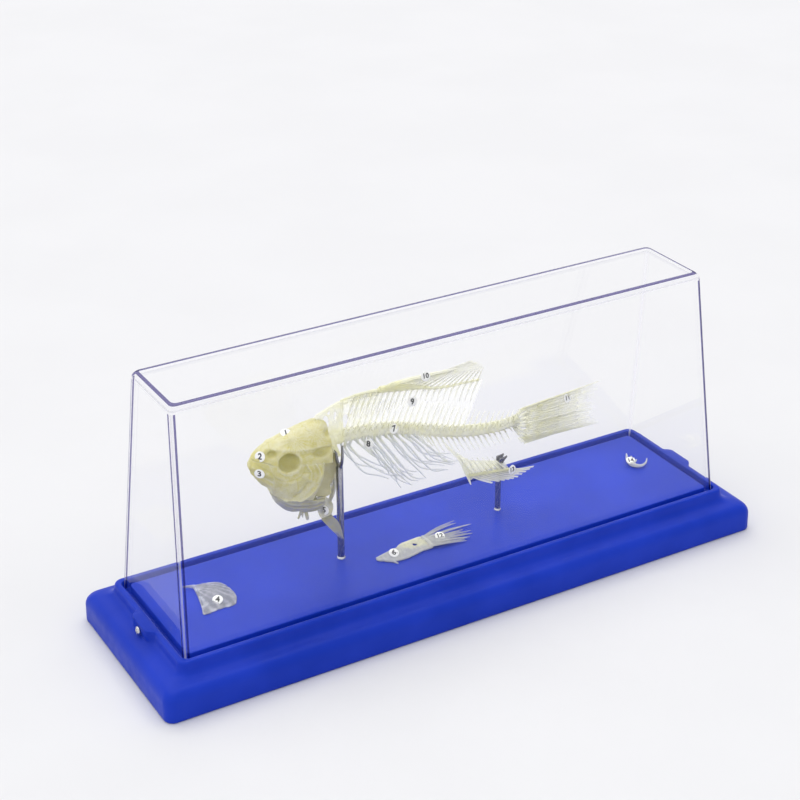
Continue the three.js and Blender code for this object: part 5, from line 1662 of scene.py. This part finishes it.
def make_anal_fin(settings, finishes):
    """The fin under the tail: its long first bearer, the short ones behind, and the rays swept back."""
    radius = settings.ray_radius / MM
    mould = Mould()
    first = [(9.4, 1.9, 69.4), (14.6, 1.75, 62.6), (19, 0.5, 56.6), (22.4, 0, 48.6), (25.2, 0, 41.2)]
    line = smooth_line(first, 36)
    mould.tube(line, (0.45, 0.7, 0.85, 0.95, 0.3), 10, flat=0.8, warmth=(0.1, 0.2, 0.3, 0.6, 0.1))
    edge = smooth_line([(16.4, 1.2, 62.0), (24.0, 0.4, 55.6), (34.0, 0.2, 52.4), (44.0, -0.6, 49.6)], 25)
    mould.web(line[8:34], edge, 0.14, warmth=(0.1, 0.5), finish=1)
    shelf = [anal_root(0), anal_root(0.5), anal_root(1)]
    mould.web(edge, smooth_line(shelf, 25), 0.16, warmth=(0.2, 0.6), finish=1)
    mould.tube(smooth_line(shelf, 16), (0.95, 0.85, 0.55), 10, warmth=(0.9, 1.0, 0.6))
    for i in range(7):
        share = i / 6
        foot = Vector((mix(19.8, 37.4, share), 0, mix(57.6, 53.6, share)))
        head = anal_root(mix(0.1, 0.92, share))
        line = bowed(foot, head, (-0.4, 0, 0), 12)
        mould.tube(line, (0.2, 0.34, 0.5), 8, warmth=(0.0, 0.5), finish=2)
        mould.web(line, [p + Vector((1.3 * ease(k / 12), 0, 0.2)) for k, p in enumerate(line)], 0.2, finish=1)
        mould.knob(head, (0.95, 0.8, 0.8), warmth=0.95)
    previous = None
    for i in range(10):
        share = i / 9
        tip_z = mix(40.6, 39.6, share * 2) if share < 0.5 else mix(39.6, 43.6, share * 2 - 1)
        tip = Vector((mix(36, 60.2, share**0.8), -3.2 - share, tip_z))
        root = anal_root(mix(0.04, 0.96, share))
        trunk = bowed(root, tip, (-0.3, 0, -0.4), 20)
        sizes = [radius * k for k in (1.2, 0.9, 0.6, 0.35)]
        add_strands(mould, trunk, (0.5, 0.05, 0.5), 0.45, sizes, warmth=(0.5, 0.1, 0.0), finish=2)
        if previous:
            mould.web(previous[:17], trunk[:17], 0.14, warmth=(0.3, 0.0), finish=1)
        previous = trunk
    return fish_piece("vent_fin", mould, finishes, ["anal_fin"])


def make_right_shoulder(finish):
    """The bowed right shoulder bone behind the gills and the plate that carries the fin."""
    bow = [(-56, 9.4, 81.6), (-50.8, 10.4, 76), (-47.6, 9.4, 66), (-49, 6.4, 57.6), (-54.6, 1.4, 53.4)]
    mould = Mould()
    line = smooth_line(bow, 40)
    mould.tube(line, (0.5, 0.8, 0.95, 1.05, 1.0), 12, flat=0.7, warmth=(0.4, 0.3, 0.2))
    swell = [math.sin(math.pi * k / 40) for k in range(41)]
    blade = [p + Vector((-3.2 * out, -0.4, 1.2 * out)) for p, out in zip(line, swell)]
    mould.web(line, blade, 0.5, warmth=(0.3, 0.1))
    clay = Clay((-63.5, -3.2, 45.6), (-50.5, 4.4, 60.6), 0.22)
    edge = [(-61.4, 58.4), (-56.4, 57.6), (-53.2, 53.8), (-53.4, 50.8), (-55.6, 47.8), (-59.8, 47.6), (-61.6, 52.6)]
    lean = clay.y + 0.55 * (54.5 - clay.z) * 0.45 - 0.5
    sheet = np.maximum(clay.outline(edge, 3), np.abs(lean) - 0.32)
    sheet = sheet - 0.25 * clay.near_line([(-58, 55), (-57, 52), (-57.6, 49)], 0.5)
    points, faces = clay.skin(sheet)
    mould.add(points, faces.tolist(), np.full(len(points), 0.25))
    return fish_piece("right_shoulder", mould, [finish], ["shoulder_right"])


def make_right_fin(settings, finishes):
    """The right breast fin hanging from its shoulder plate."""
    radius = settings.ray_radius / MM
    mould = Mould()
    mould.tube([(-60.0, -1.9, 47.6), (-57.4, -1.9, 47.8), (-55.0, -1.9, 48.3)], (0.6, 0.7, 0.7), 10, warmth=0.4)
    previous = None
    for i in range(12):
        share = i / 11
        root = Vector((mix(-59.8, -55.2, share), -1.9, mix(47.4, 48.4, share)))
        bend = Vector((mix(-56.6, -52.2, share), mix(-3.2, -3.6, share), mix(42.6, 44.2, share)))
        tip = Vector((mix(-53.2, -50.2, share), -4.6, mix(38.0, 35.6, share) - 0.6 * math.sin(i * 2)))
        trunk = smooth_line([root, bend, tip], 18)
        mould.tube(trunk, [radius * k for k in (1.1, 0.9, 0.7, 0.35)], 6, warmth=(0.3, 0.0))
        if previous:
            mould.web(previous[:15], trunk[:15], 0.14, finish=1)
        previous = trunk
    return fish_piece("right_breast_fin", mould, finishes, ["pectoral_fin_right"])


# ---------------------------------------------------------------- loose bones on the floor
def make_loose_gill_cover(finish):
    """The left gill cover, lying dish side down."""
    grow_x, grow_y = -123, 14  # where its growth rings and rays start
    dish = 9.5  # width of the slope inside its edge
    outline = [(-122.6, 15.2), (-110.8, 12.6), (-108.2, 5.3), (-108.6, -3.2), (-112.3, -8.6)]
    outline += [(-119.9, -8.6), (-128.2, -9.2), (-125.2, -0.7), (-123.0, 9)]
    clay = Clay((-129.8, -11.0, 20.8), (-107.0, 17.2, 27.2), 0.28)
    ring = ring_through(outline, 4)
    flat = ring_distance(clay.x[:, :, 0], clay.y[:, :, 0], ring)[:, :, None]
    dome = REST_Z + 2.5 * np.clip(1 - (np.clip(dish + flat, 0, dish) / dish) ** 2, 0, 1)
    field = np.maximum(flat, np.abs(clay.z - dome - 0.35) - 0.3)
    away = np.sqrt((clay.x - grow_x) ** 2 + (clay.y - grow_y) ** 2)
    turn = np.arctan2(clay.y - grow_y, clay.x - grow_x)
    field = field - 0.05 * np.sin(away * 2.6) - 0.04 * np.sin(turn * 44)
    for line, radii in (
        ([(-122.4, 14.4, 23.0), (-125.4, 15.2, 23.4), (-128.2, 15.9, 23.6)], (0.9, 0.6, 0.35)),
        ([(-122.4, 14.0, 23.0), (-124.4, 4.0, 23.0), (-127.6, -7.8, 22.7)], (0.7, 0.6, 0.3)),
    ):
        field = melt(field, clay.rod(line, radii, 1.0), 0.5)
    points, faces = clay.skin(field)
    mould = Mould()
    gap = np.array([min(math.dist((x, y), p) for p in ring[::3]) for x, y in points[:, :2]])
    growth = 0.5 + 0.5 * np.sin(np.arctan2(points[:, 1] - grow_y, points[:, 0] - grow_x) * 30)
    mould.add(points, faces.tolist(), np.clip(1.2 * np.exp(-gap / 1.1) + 0.5 * growth - 0.15, 0, 1))
    return make_piece("loose_gill_cover_plate", mould, [finish], ["loose_gill_cover"])


# The loose shoulder's outline and height above the floor: [x, near edge y, far edge y, height]
SHOULDER_SECTIONS = [
    (-36.2, -9, -7.4, 0.8),
    (-33, -12.6, -6.8, 2.2),
    (-28, -14.8, -5.2, 3.4),
    (-23, -15, -5.4, 3.6),
    (-18, -13.4, -2.8, 3.4),
    (-12, -13, -2, 2.8),
    (-7, -13.2, -2, 2.2),
]


def make_loose_shoulder(finish):
    """The left shoulder girdle, a low ridged blade with a socket at its fin end."""
    clay = Clay((-38.0, -18.4, 21.4), (-4.8, -0.6, 27.6), 0.24)
    xs = [s[0] for s in SHOULDER_SECTIONS]
    near, far, height = (np.interp(clay.x, xs, [s[k] for s in SHOULDER_SECTIONS]) for k in (1, 2, 3))
    across = (clay.y - near) / (far - near)
    profile = np.clip(np.sin(np.clip(across, 0, 1) * math.pi) ** 0.7, 0.05, 1)
    top = REST_Z + 0.5 + (height - 0.6) * profile * (0.75 + 0.25 * np.clip(across * 1.6, 0, 1))
    rim = np.maximum(np.maximum(near - clay.y, clay.y - far), np.maximum(-36.2 - clay.x, clay.x + 7.0))
    folds = np.sin(clay.x * 1.1 + clay.y * 0.7) * np.sin(clay.y * 1.6 - clay.x * 0.3)
    top = top + (0.35 * folds + 0.2 * np.sin(clay.x * 2.6 + 1)) * np.clip(profile, 0, 1)
    rim = rim + 0.5 + 0.5 * np.sin(clay.x * 0.9 + 0.6) * np.sin(clay.x * 0.37)
    field = np.maximum(rim, np.maximum(clay.z - top, top - 1.1 - clay.z))
    course = [(-35.6, -8.2, 23.2), (-29, -9.2, 25.0), (-20, -6.4, 25.3), (-9, -4.4, 24.4)]
    ridge = clay.rod(course, (0.5, 0.8, 0.8, 0.7))
    course = [(-35.8, -8.8, 22.8), (-29, -14.2, 22.8), (-22, -14.6, 22.8), (-12, -12.6, 22.9), (-7, -12.8, 23.0)]
    edge = clay.rod(course, (0.4, 0.55, 0.6, 0.6, 0.6))
    prong = clay.rod([(-30, -13.4, 22.7), (-28.6, -16.7, 22.6)], (0.55, 0.35))
    far_edge = clay.rod([(-24, -5.6, 23.0), (-18, -3.2, 23.2), (-9, -2.6, 23.4)], (0.4, 0.6, 0.6))
    field = melt(melt(melt(field, ridge, 0.7), edge, 0.5), melt(prong, far_edge, 0.2), 0.4)
    field = scoop(field, clay.ball((-25.6, -6.6, 24.6), (2.4, 1.6, 2.4)), 0.6)
    field = scoop(field, clay.ball((-13.5, -8.2, 25.4), (2.6, 1.8, 1.6)), 0.6)
    field = np.maximum(field, REST_Z - clay.z)
    points, faces = clay.skin(field)
    mould = Mould()
    warm = 1.5 * bell(points[:, 0] + 15, 7) * np.clip((points[:, 1] + 11.5) / 3, 0, 1) + 0.05
    mould.add(points, faces.tolist(), np.clip(warm, 0, 1))
    return make_piece("loose_shoulder_blade", mould, [finish], ["loose_shoulder"])


def make_loose_fin(settings, finishes):
    """The left breast fin, fanned out flat behind its shoulder in six bundles of rays."""
    radius = settings.ray_radius / MM
    tips = [(11.4, -15.0), (14, -13.2), (17.8, -9.8), (15, -6.8), (21.0, -3.2), (15.8, 2.6)]
    mould = Mould()
    z = REST_Z + 1.4
    mould.tube([(-6.9, -12.6, z), (-6.6, -7.8, z + 0.4), (-6.9, -3.0, z)], (1.0, 1.2, 1.0), 10, warmth=0.7)
    lift = Vector((0, 0, 0.07))
    for bundle, (x, y) in enumerate(tips):
        previous = None
        for i in range(4):
            share = (bundle + i / 3.4) / 6
            root = Vector((-7.4, mix(-12.4, -3.2, share), z))
            tip = Vector((x - 1.3 * (i % 3), y + (i - 1.5) * 0.55, z - 0.9 + 0.5 * math.sin(bundle * 2 + i)))
            trunk = bowed(root, tip, (0, mix(-0.5, 0.4, share), 0.5 + 0.3 * math.sin(bundle * 1.7)), 22)
            mould.tube(trunk, [radius * k for k in (1.4, 1.1, 0.8, 0.4)], 7, warmth=(0.5, 0.15, 0.0))
            if previous:
                run = [[a - lift, b - lift, b + lift, a + lift] for a, b in zip(previous[:12], trunk[:12])]
                mould.loft(run, finish=1)
            previous = trunk
    return make_piece("loose_breast_fin", mould, finishes, ["loose_pectoral_fin"])


def make_tooth_bone(finish):
    """The left throat-tooth bone: a bow with three blunt teeth."""
    z = REST_Z + 1.3
    bow = [(131.2, 13.8, z + 0.6), (128.2, 8.6, z), (127.6, 3.4, z), (130.6, 0.2, z)]
    bow += [(134.6, 1.2, z + 0.3), (137.2, 3.8, z + 0.9)]
    clay = Clay((125.4, -2.2, 21.0), (139.2, 16.0, 27.0), 0.2)
    line = [tuple(p) for p in smooth_line(bow, 18)]
    field = clay.rod(line, (0.4, 1.0, 1.2, 0.75, 0.5, 0.3))
    for y in (3.9, 6.1, 8.3):
        tooth = clay.rod([(127.9, y, z + 0.1), (129.6, y + 0.2, z + 1.0), (130.7, y + 0.5, z + 1.5)], (0.75, 0.7, 0.45))
        field = melt(field, tooth, 0.35)
    points, faces = clay.skin(field)
    mould = Mould()
    mould.add(points, faces.tolist(), np.full(len(points), 0.15))
    return make_piece("loose_throat_teeth", mould, [finish], ["loose_tooth_bone"])


# ---------------------------------------------------------------- labels
# number, point aimed at on the bone, direction the label faces, piece that carries it
LABELS = [
    ("1", (-76.8, 0.0, 98.4), (-0.1, -0.35, 1.0), "cranium_bone"),
    ("2", (-92.0, -3.4, 91.6), (-0.75, -0.7, 0.35), "cranium_bone"),
    ("3", (-92.2, -3.4, 83.6), (-0.7, -0.8, -0.1), "upper_jaw_bone"),
    ("4", (-118.8, -4.2, 25.0), (-0.22, -0.4, 0.9), "loose_gill_cover_plate"),
    ("14", (127.9, 5.8, 24.6), (-0.1, -0.3, 1), "loose_throat_teeth"),
    ("6", (-27.6, -11.0, 25.5), (-0.1, -0.45, 1), "loose_shoulder_blade"),
    ("7", (-20.3, -2.0, 86.1), (0.0, -1, 0.3), "front_backbone"),
    ("8", (-35.9, -5.5, 82.6), (-0.75, -0.6, 0.1), "left_ribs"),
    ("9", (-9.1, -1.0, 97.1), (0, -1, 0.15), "back_fin"),
    ("10", (-2.4, -1.2, 109.4), (-0.1, -1, 0.3), "back_fin_spine"),
    ("11", (82.3, -0.8, 75.5), (0.15, -0.95, 0.3), "upper_tail_fin"),
    ("12", (0.6, -8.2, 26.4), (-0.1, -0.4, 1), "loose_breast_fin"),
    ("13", (46.8, -3.4, 45.4), (0.2, -1, 0.1), "vent_fin"),
    ("5", (-58.2, -0.6, 51.8), (-0.75, -0.6, 0.1), "right_shoulder"),
]


LABEL_LIFT = 0.35  # from the point found on the bone to the back of the paper
PRINT_LIFT = 0.12  # from there to the numeral, just clear of the paper
LEVEL_TURN = math.radians(30)  # how a label that lies flat is turned
NUMERAL_SIZE = {1: 1.6, 2: 1.35}  # by count of digits, as a share of the label's radius


def numeral_mesh(text, height):
    """Flat faces of a numeral, centred on the origin, as points and faces in millimetres."""
    curve = bpy.data.curves.new("numeral", "FONT")
    curve.body, curve.size = text, height
    curve.align_x, curve.align_y = "CENTER", "CENTER"
    curve.resolution_u = 3
    curve.offset = 0.035 * height
    holder = bpy.data.objects.new("numeral", curve)
    bpy.context.scene.collection.objects.link(holder)
    bpy.context.view_layer.update()
    mesh = bpy.data.meshes.new_from_object(holder.evaluated_get(bpy.context.evaluated_depsgraph_get()))
    points = [v.co.copy() for v in mesh.vertices]
    faces = [tuple(p.vertices) for p in mesh.polygons]
    bpy.data.objects.remove(holder)
    bpy.data.curves.remove(curve)
    bpy.data.meshes.remove(mesh)
    return points, faces


def make_label(settings, number, aim, facing, carrier, finishes):
    """A round paper label seated on the surface that carries it, with its numeral printed on it."""
    piece = bpy.data.objects[carrier]
    on_fish = not carrier.startswith("loose")
    target = (Vector(aim) + Vector((0, FISH_Y if on_fish else 0, 0))) * MM
    facing = Vector(facing).normalized()
    tree = BVHTree.FromObject(piece, bpy.context.evaluated_depsgraph_get())
    hit = tree.ray_cast(target + facing * 30 * MM, -facing, 60 * MM)[0]
    if hit is None:
        hit = tree.find_nearest(target)[0]
    seat = hit / MM + facing * LABEL_LIFT
    right = Vector((0, 0, 1)).cross(facing)
    if right.length < 0.3:
        right = Vector((math.cos(LEVEL_TURN), -math.sin(LEVEL_TURN), 0))
    right = (right - facing * right.dot(facing)).normalized()
    up = facing.cross(right)
    radius = settings.diameter / MM / 2
    mould, rings = Mould(), []
    for size, lift in ((0.0, -0.05), (0.98, -0.05), (1.0, 0.0), (0.985, 0.06), (0.6, 0.07), (0.0, 0.07)):
        r = max(radius * size, 0.01)
        ring = []
        for turn in turns(40):
            curl = 0.10 * size**3 * math.cos(turn * 2 + 0.6)
            ring.append(seat + right * (r * math.cos(turn)) + up * (r * math.sin(turn)) + facing * (lift + curl))
        rings.append(ring)
    mould.loft(rings)
    points, faces = numeral_mesh(number, radius * NUMERAL_SIZE[len(number)])
    front = [seat + right * p.x + up * p.y + facing * PRINT_LIFT for p in points]
    mould.add(front, faces, [0] * len(front), 1)
    return make_piece("label_" + number, mould, finishes, [])


def make_labels(settings):
    finishes = [paper("Label paper", tuple(settings.paper)), printing_ink("Label ink", tuple(settings.ink))]
    for number, aim, facing, carrier in LABELS:
        make_label(settings, number, aim, facing, carrier, finishes)


# ---------------------------------------------------------------- stage
FRONT_SHARE = 0.28  # strength of the front light as a share of the light from above


def add_sun(name, towards, softness, power):
    """Even light from one side, as soft as a source that many degrees wide."""
    lamp = bpy.data.lights.new(name, "SUN")
    lamp.energy, lamp.angle = power, math.radians(softness)
    holder = bpy.data.objects.new(name, lamp)
    holder.rotation_mode = "QUATERNION"
    holder.rotation_quaternion = Vector(towards).to_track_quat("Z", "Y")
    bpy.context.scene.collection.objects.link(holder)


def make_stage(settings):
    scene = bpy.context.scene
    half, drop = 6.0, 0.2 * MM  # the floor's reach and its place just under the base
    mesh = bpy.data.meshes.new("studio_floor")
    corners = [(x * half, y * half, -drop) for x, y in ((-1, -1), (1, -1), (1, 1), (-1, 1))]
    mesh.from_pydata(corners, [], [(0, 1, 2, 3)])
    mesh.materials.append(stage_floor_finish("Studio floor", tuple(settings.floor_colour)))
    floor = bpy.data.objects.new("studio_floor", mesh)
    scene.collection.objects.link(floor)
    floor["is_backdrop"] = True

    world = bpy.data.worlds.new("Studio light")
    world.use_nodes = True
    sky = world.node_tree.nodes["Background"]
    sky.inputs["Color"].default_value = (0.985, 0.985, 1.0, 1)
    way = world.node_tree.nodes.new("ShaderNodeTexCoord")
    facing = world.node_tree.nodes.new("ShaderNodeVectorMath")
    facing.operation = "DOT_PRODUCT"
    facing.inputs[1].default_value = (-0.45, 0.7, 0.5)
    world.node_tree.links.new(way.outputs["Generated"], facing.inputs[0])
    full, dim = settings.sky_strength, settings.sky_strength * 0.62
    strength = remap(world.node_tree, facing.outputs["Value"], -0.6, 0.75, dim, full)
    world.node_tree.links.new(strength, sky.inputs["Strength"])
    scene.world = world
    add_sun("high_sun", (0.15, 0.35, 1.0), 60, settings.lamp_power)
    add_sun("front_sun", (-0.3, -1.0, 0.6), 90, settings.lamp_power * FRONT_SHARE)

    level_way = Vector((math.sin(settings.bearing), math.cos(settings.bearing), 0))
    forward = level_way * math.cos(settings.dip) - Vector((0, 0, math.sin(settings.dip)))
    right = Vector((math.cos(settings.bearing), -math.sin(settings.bearing), 0))
    up = right.cross(forward)
    c, s = math.cos(settings.roll), math.sin(settings.roll)
    right, up = right * c + up * s, up * c - right * s
    camera = bpy.data.cameras.new("camera")
    camera.lens, camera.sensor_width = settings.lens, 36
    camera.clip_start, camera.clip_end = 0.01, 50
    holder = bpy.data.objects.new("camera", camera)
    turn = Matrix((right, up, -forward)).transposed().to_4x4()
    holder.matrix_world = Matrix.Translation(Vector(settings.place)) @ turn
    scene.collection.objects.link(holder)
    scene.camera = holder
    scene.view_settings.view_transform = "Standard"


# ---------------------------------------------------------------- shared finishes
# pale and warm tone, each a bone setting or a colour, then patchy, lit and sheer as in bone_finish
BONE_FINISHES = {
    "Back bone": ("back_pale", "back_warm", 0.08, 0.5, 0.2),
    "Fin bone": ("back_pale", "back_warm", 0.1, 0.55, 0.32),
    "Dried skin": ("back_pale", "back_warm", 0.1, 0.62, 0.58),
    "Thin dried skin": ("back_pale", "back_pale", 0.34, 0.6, 0.72),
    "Spine bone": ("back_pale", "back_warm", 0.1, 0.48, 0.34),
    "Rib bone": ("rib_pale", "back_warm", 0.1, 0.45, 0.16),
    # The shoulder bone's grey is the throat's, partly painted shade.
    "Shoulder bone": ("throat_grey_and_shade", "skull_warm", 0.1, 0.45, 0.35),
    "Gill plate": ((0.34, 0.35, 0.37), (0.94, 0.95, 0.95), 0.34, 0.2, 0.48),
    "Loose rays": ((0.58, 0.59, 0.62), (0.90, 0.90, 0.84), 0.34, 0.3, 0.48),
    "Loose bone": ((0.68, 0.69, 0.70), "back_warm", 0.1, 0.3, 0.26),
}


def shared(settings, *names):
    """Finishes of the table by name, each made the first time that an operator asks for it."""
    found = []
    for name in names:
        material = bpy.data.materials.get(name)
        if material is None:
            *tones, patchy, lit, sheer = BONE_FINISHES[name]
            pale, warm = (tuple(getattr(settings, t)) if isinstance(t, str) else t for t in tones)
            material = bone_finish(name, pale, warm, glow=0.0, patchy=patchy, lit=lit, sheer=sheer)
        found.append(material)
    return found


# ---------------------------------------------------------------- operators
class CARP_OT_base(bpy.types.Operator):
    """Make the blue moulded base with its groove and screw bosses"""

    bl_idname = "carp.base"
    bl_label = "Base"

    def execute(self, context):
        make_base(context.scene.carp_case)
        return {"FINISHED"}


class CARP_OT_cover(bpy.types.Operator):
    """Make the clear tapered cover"""

    bl_idname = "carp.cover"
    bl_label = "Clear cover"

    def execute(self, context):
        make_cover(context.scene.carp_case)
        return {"FINISHED"}


class CARP_OT_metalwork(bpy.types.Operator):
    """Make the two screws and the two steel pins"""

    bl_idname = "carp.metalwork"
    bl_label = "Screws and pins"

    def execute(self, context):
        screws = bright_steel("Screw steel", (0.7, 0.7, 0.72), (1, 1, 1))
        make_screw(-1, screws)
        make_screw(1, screws)
        collar = bright_steel("Collar steel", (0.75, 0.77, 0.82), (1, 1, 1))
        clip = bright_steel("Clip steel", (0.30, 0.30, 0.32), (1, 1, 1))
        make_pins(bright_steel("Pin steel", (0.42, 0.42, 0.47)), collar, clip)
        return {"FINISHED"}


class CARP_OT_head(bpy.types.Operator):
    """Make the skull, jaws, cheeks, right gill cover and throat bones"""

    bl_idname = "carp.head"
    bl_label = "Head"

    def execute(self, context):
        make_head(context.scene.carp_bone)
        return {"FINISHED"}


class CARP_OT_backbone(bpy.types.Operator):
    """Make the neck and the three lengths of the backbone with their spines"""

    bl_idname = "carp.backbone"
    bl_label = "Backbone"

    def execute(self, context):
        bone = context.scene.carp_bone
        back, spine = shared(bone, "Back bone", "Spine bone")
        make_neck(back)
        make_backbone(back, spine)
        return {"FINISHED"}


class CARP_OT_ribs(bpy.types.Operator):
    """Make the ribs of both sides"""

    bl_idname = "carp.ribs"
    bl_label = "Ribs"

    def execute(self, context):
        bone = context.scene.carp_bone
        make_ribs(bone, *shared(bone, "Rib bone"))
        return {"FINISHED"}


class CARP_OT_back_fin(bpy.types.Operator):
    """Make the nape bones and the back fin with its spine"""

    bl_idname = "carp.back_fin"
    bl_label = "Back fin"

    def execute(self, context):
        bone = context.scene.carp_bone
        make_nape_ridge(*shared(bone, "Back bone", "Dried skin"))
        make_dorsal_fin(bone, shared(bone, "Fin bone", "Dried skin", "Thin dried skin", "Spine bone"))
        make_dorsal_spine(*shared(bone, "Fin bone"))
        return {"FINISHED"}


class CARP_OT_tail(bpy.types.Operator):
    """Make the tail fan and both halves of the tail fin"""

    bl_idname = "carp.tail"
    bl_label = "Tail"

    def execute(self, context):
        bone = context.scene.carp_bone
        make_tail_fan(*shared(bone, "Fin bone"))
        finishes = shared(bone, "Spine bone", "Dried skin", "Thin dried skin")
        make_tail_lobe(bone, 1, "upper_tail_fin", "tail_fin_upper", finishes)
        make_tail_lobe(bone, -1, "lower_tail_fin", "tail_fin_lower", finishes)
        return {"FINISHED"}


class CARP_OT_lower_fins(bpy.types.Operator):
    """Make the anal fin, the right shoulder and the right breast fin"""

    bl_idname = "carp.lower_fins"
    bl_label = "Lower fins and shoulder"

    def execute(self, context):
        bone = context.scene.carp_bone
        make_anal_fin(bone, shared(bone, "Fin bone", "Dried skin", "Spine bone"))
        make_right_shoulder(*shared(bone, "Shoulder bone"))
        make_right_fin(bone, shared(bone, "Shoulder bone", "Dried skin"))
        return {"FINISHED"}


class CARP_OT_loose_bones(bpy.types.Operator):
    """Make the loose gill cover, shoulder, fin and throat-tooth bone on the floor of the case"""

    bl_idname = "carp.loose_bones"
    bl_label = "Loose bones"

    def execute(self, context):
        bone = context.scene.carp_bone
        make_loose_gill_cover(*shared(bone, "Gill plate"))
        make_loose_shoulder(*shared(bone, "Loose bone"))
        make_loose_fin(bone, shared(bone, "Loose rays", "Thin dried skin"))
        make_tooth_bone(*shared(bone, "Loose bone"))
        return {"FINISHED"}


class CARP_OT_labels(bpy.types.Operator):
    """Make the round numbered paper labels"""

    bl_idname = "carp.labels"
    bl_label = "Number labels"

    def execute(self, context):
        make_labels(context.scene.carp_label)
        return {"FINISHED"}


class CARP_OT_stage(bpy.types.Operator):
    """Make the plain floor, the studio light and the camera"""

    bl_idname = "carp.stage"
    bl_label = "Stage"

    def execute(self, context):
        make_stage(context.scene.carp_stage)
        return {"FINISHED"}


OPERATORS = [
    CARP_OT_base,
    CARP_OT_cover,
    CARP_OT_metalwork,
    CARP_OT_head,
    CARP_OT_backbone,
    CARP_OT_ribs,
    CARP_OT_back_fin,
    CARP_OT_tail,
    CARP_OT_lower_fins,
    CARP_OT_loose_bones,
    CARP_OT_labels,
    CARP_OT_stage,
]


class CARP_PT_panel(bpy.types.Panel):
    """The pieces and settings of the mounted carp skeleton"""

    bl_idname = "CARP_PT_panel"
    bl_label = "Carp skeleton"
    bl_space_type = "VIEW_3D"
    bl_region_type = "UI"
    bl_category = "Carp skeleton"

    def draw(self, context):
        for operator in OPERATORS:
            self.layout.operator(operator.bl_idname)
        for group in ("carp_case", "carp_bone", "carp_label", "carp_stage"):
            settings = getattr(context.scene, group)
            for key in type(settings).__annotations__:
                self.layout.prop(settings, key)


GROUPS = {
    "carp_case": CaseSettings,
    "carp_bone": BoneSettings,
    "carp_label": LabelSettings,
    "carp_stage": StageSettings,
}


def register():
    for kind in (*GROUPS.values(), *OPERATORS, CARP_PT_panel):
        bpy.utils.register_class(kind)
    for name, kind in GROUPS.items():
        setattr(bpy.types.Scene, name, PointerProperty(type=kind))


def unregister():
    for name in GROUPS:
        delattr(bpy.types.Scene, name)
    for kind in (CARP_PT_panel, *reversed(OPERATORS), *reversed(list(GROUPS.values()))):
        bpy.utils.unregister_class(kind)


def main():
    register()
    for operator in OPERATORS:
        group, name = operator.bl_idname.split(".")
        getattr(getattr(bpy.ops, group), name)()
    boxes = {"cad": CAD_BOX, "visual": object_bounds()}
    {key: [list(corner) for corner in box] for key, box in boxes.items()}


if __name__ == "__main__":
    main()
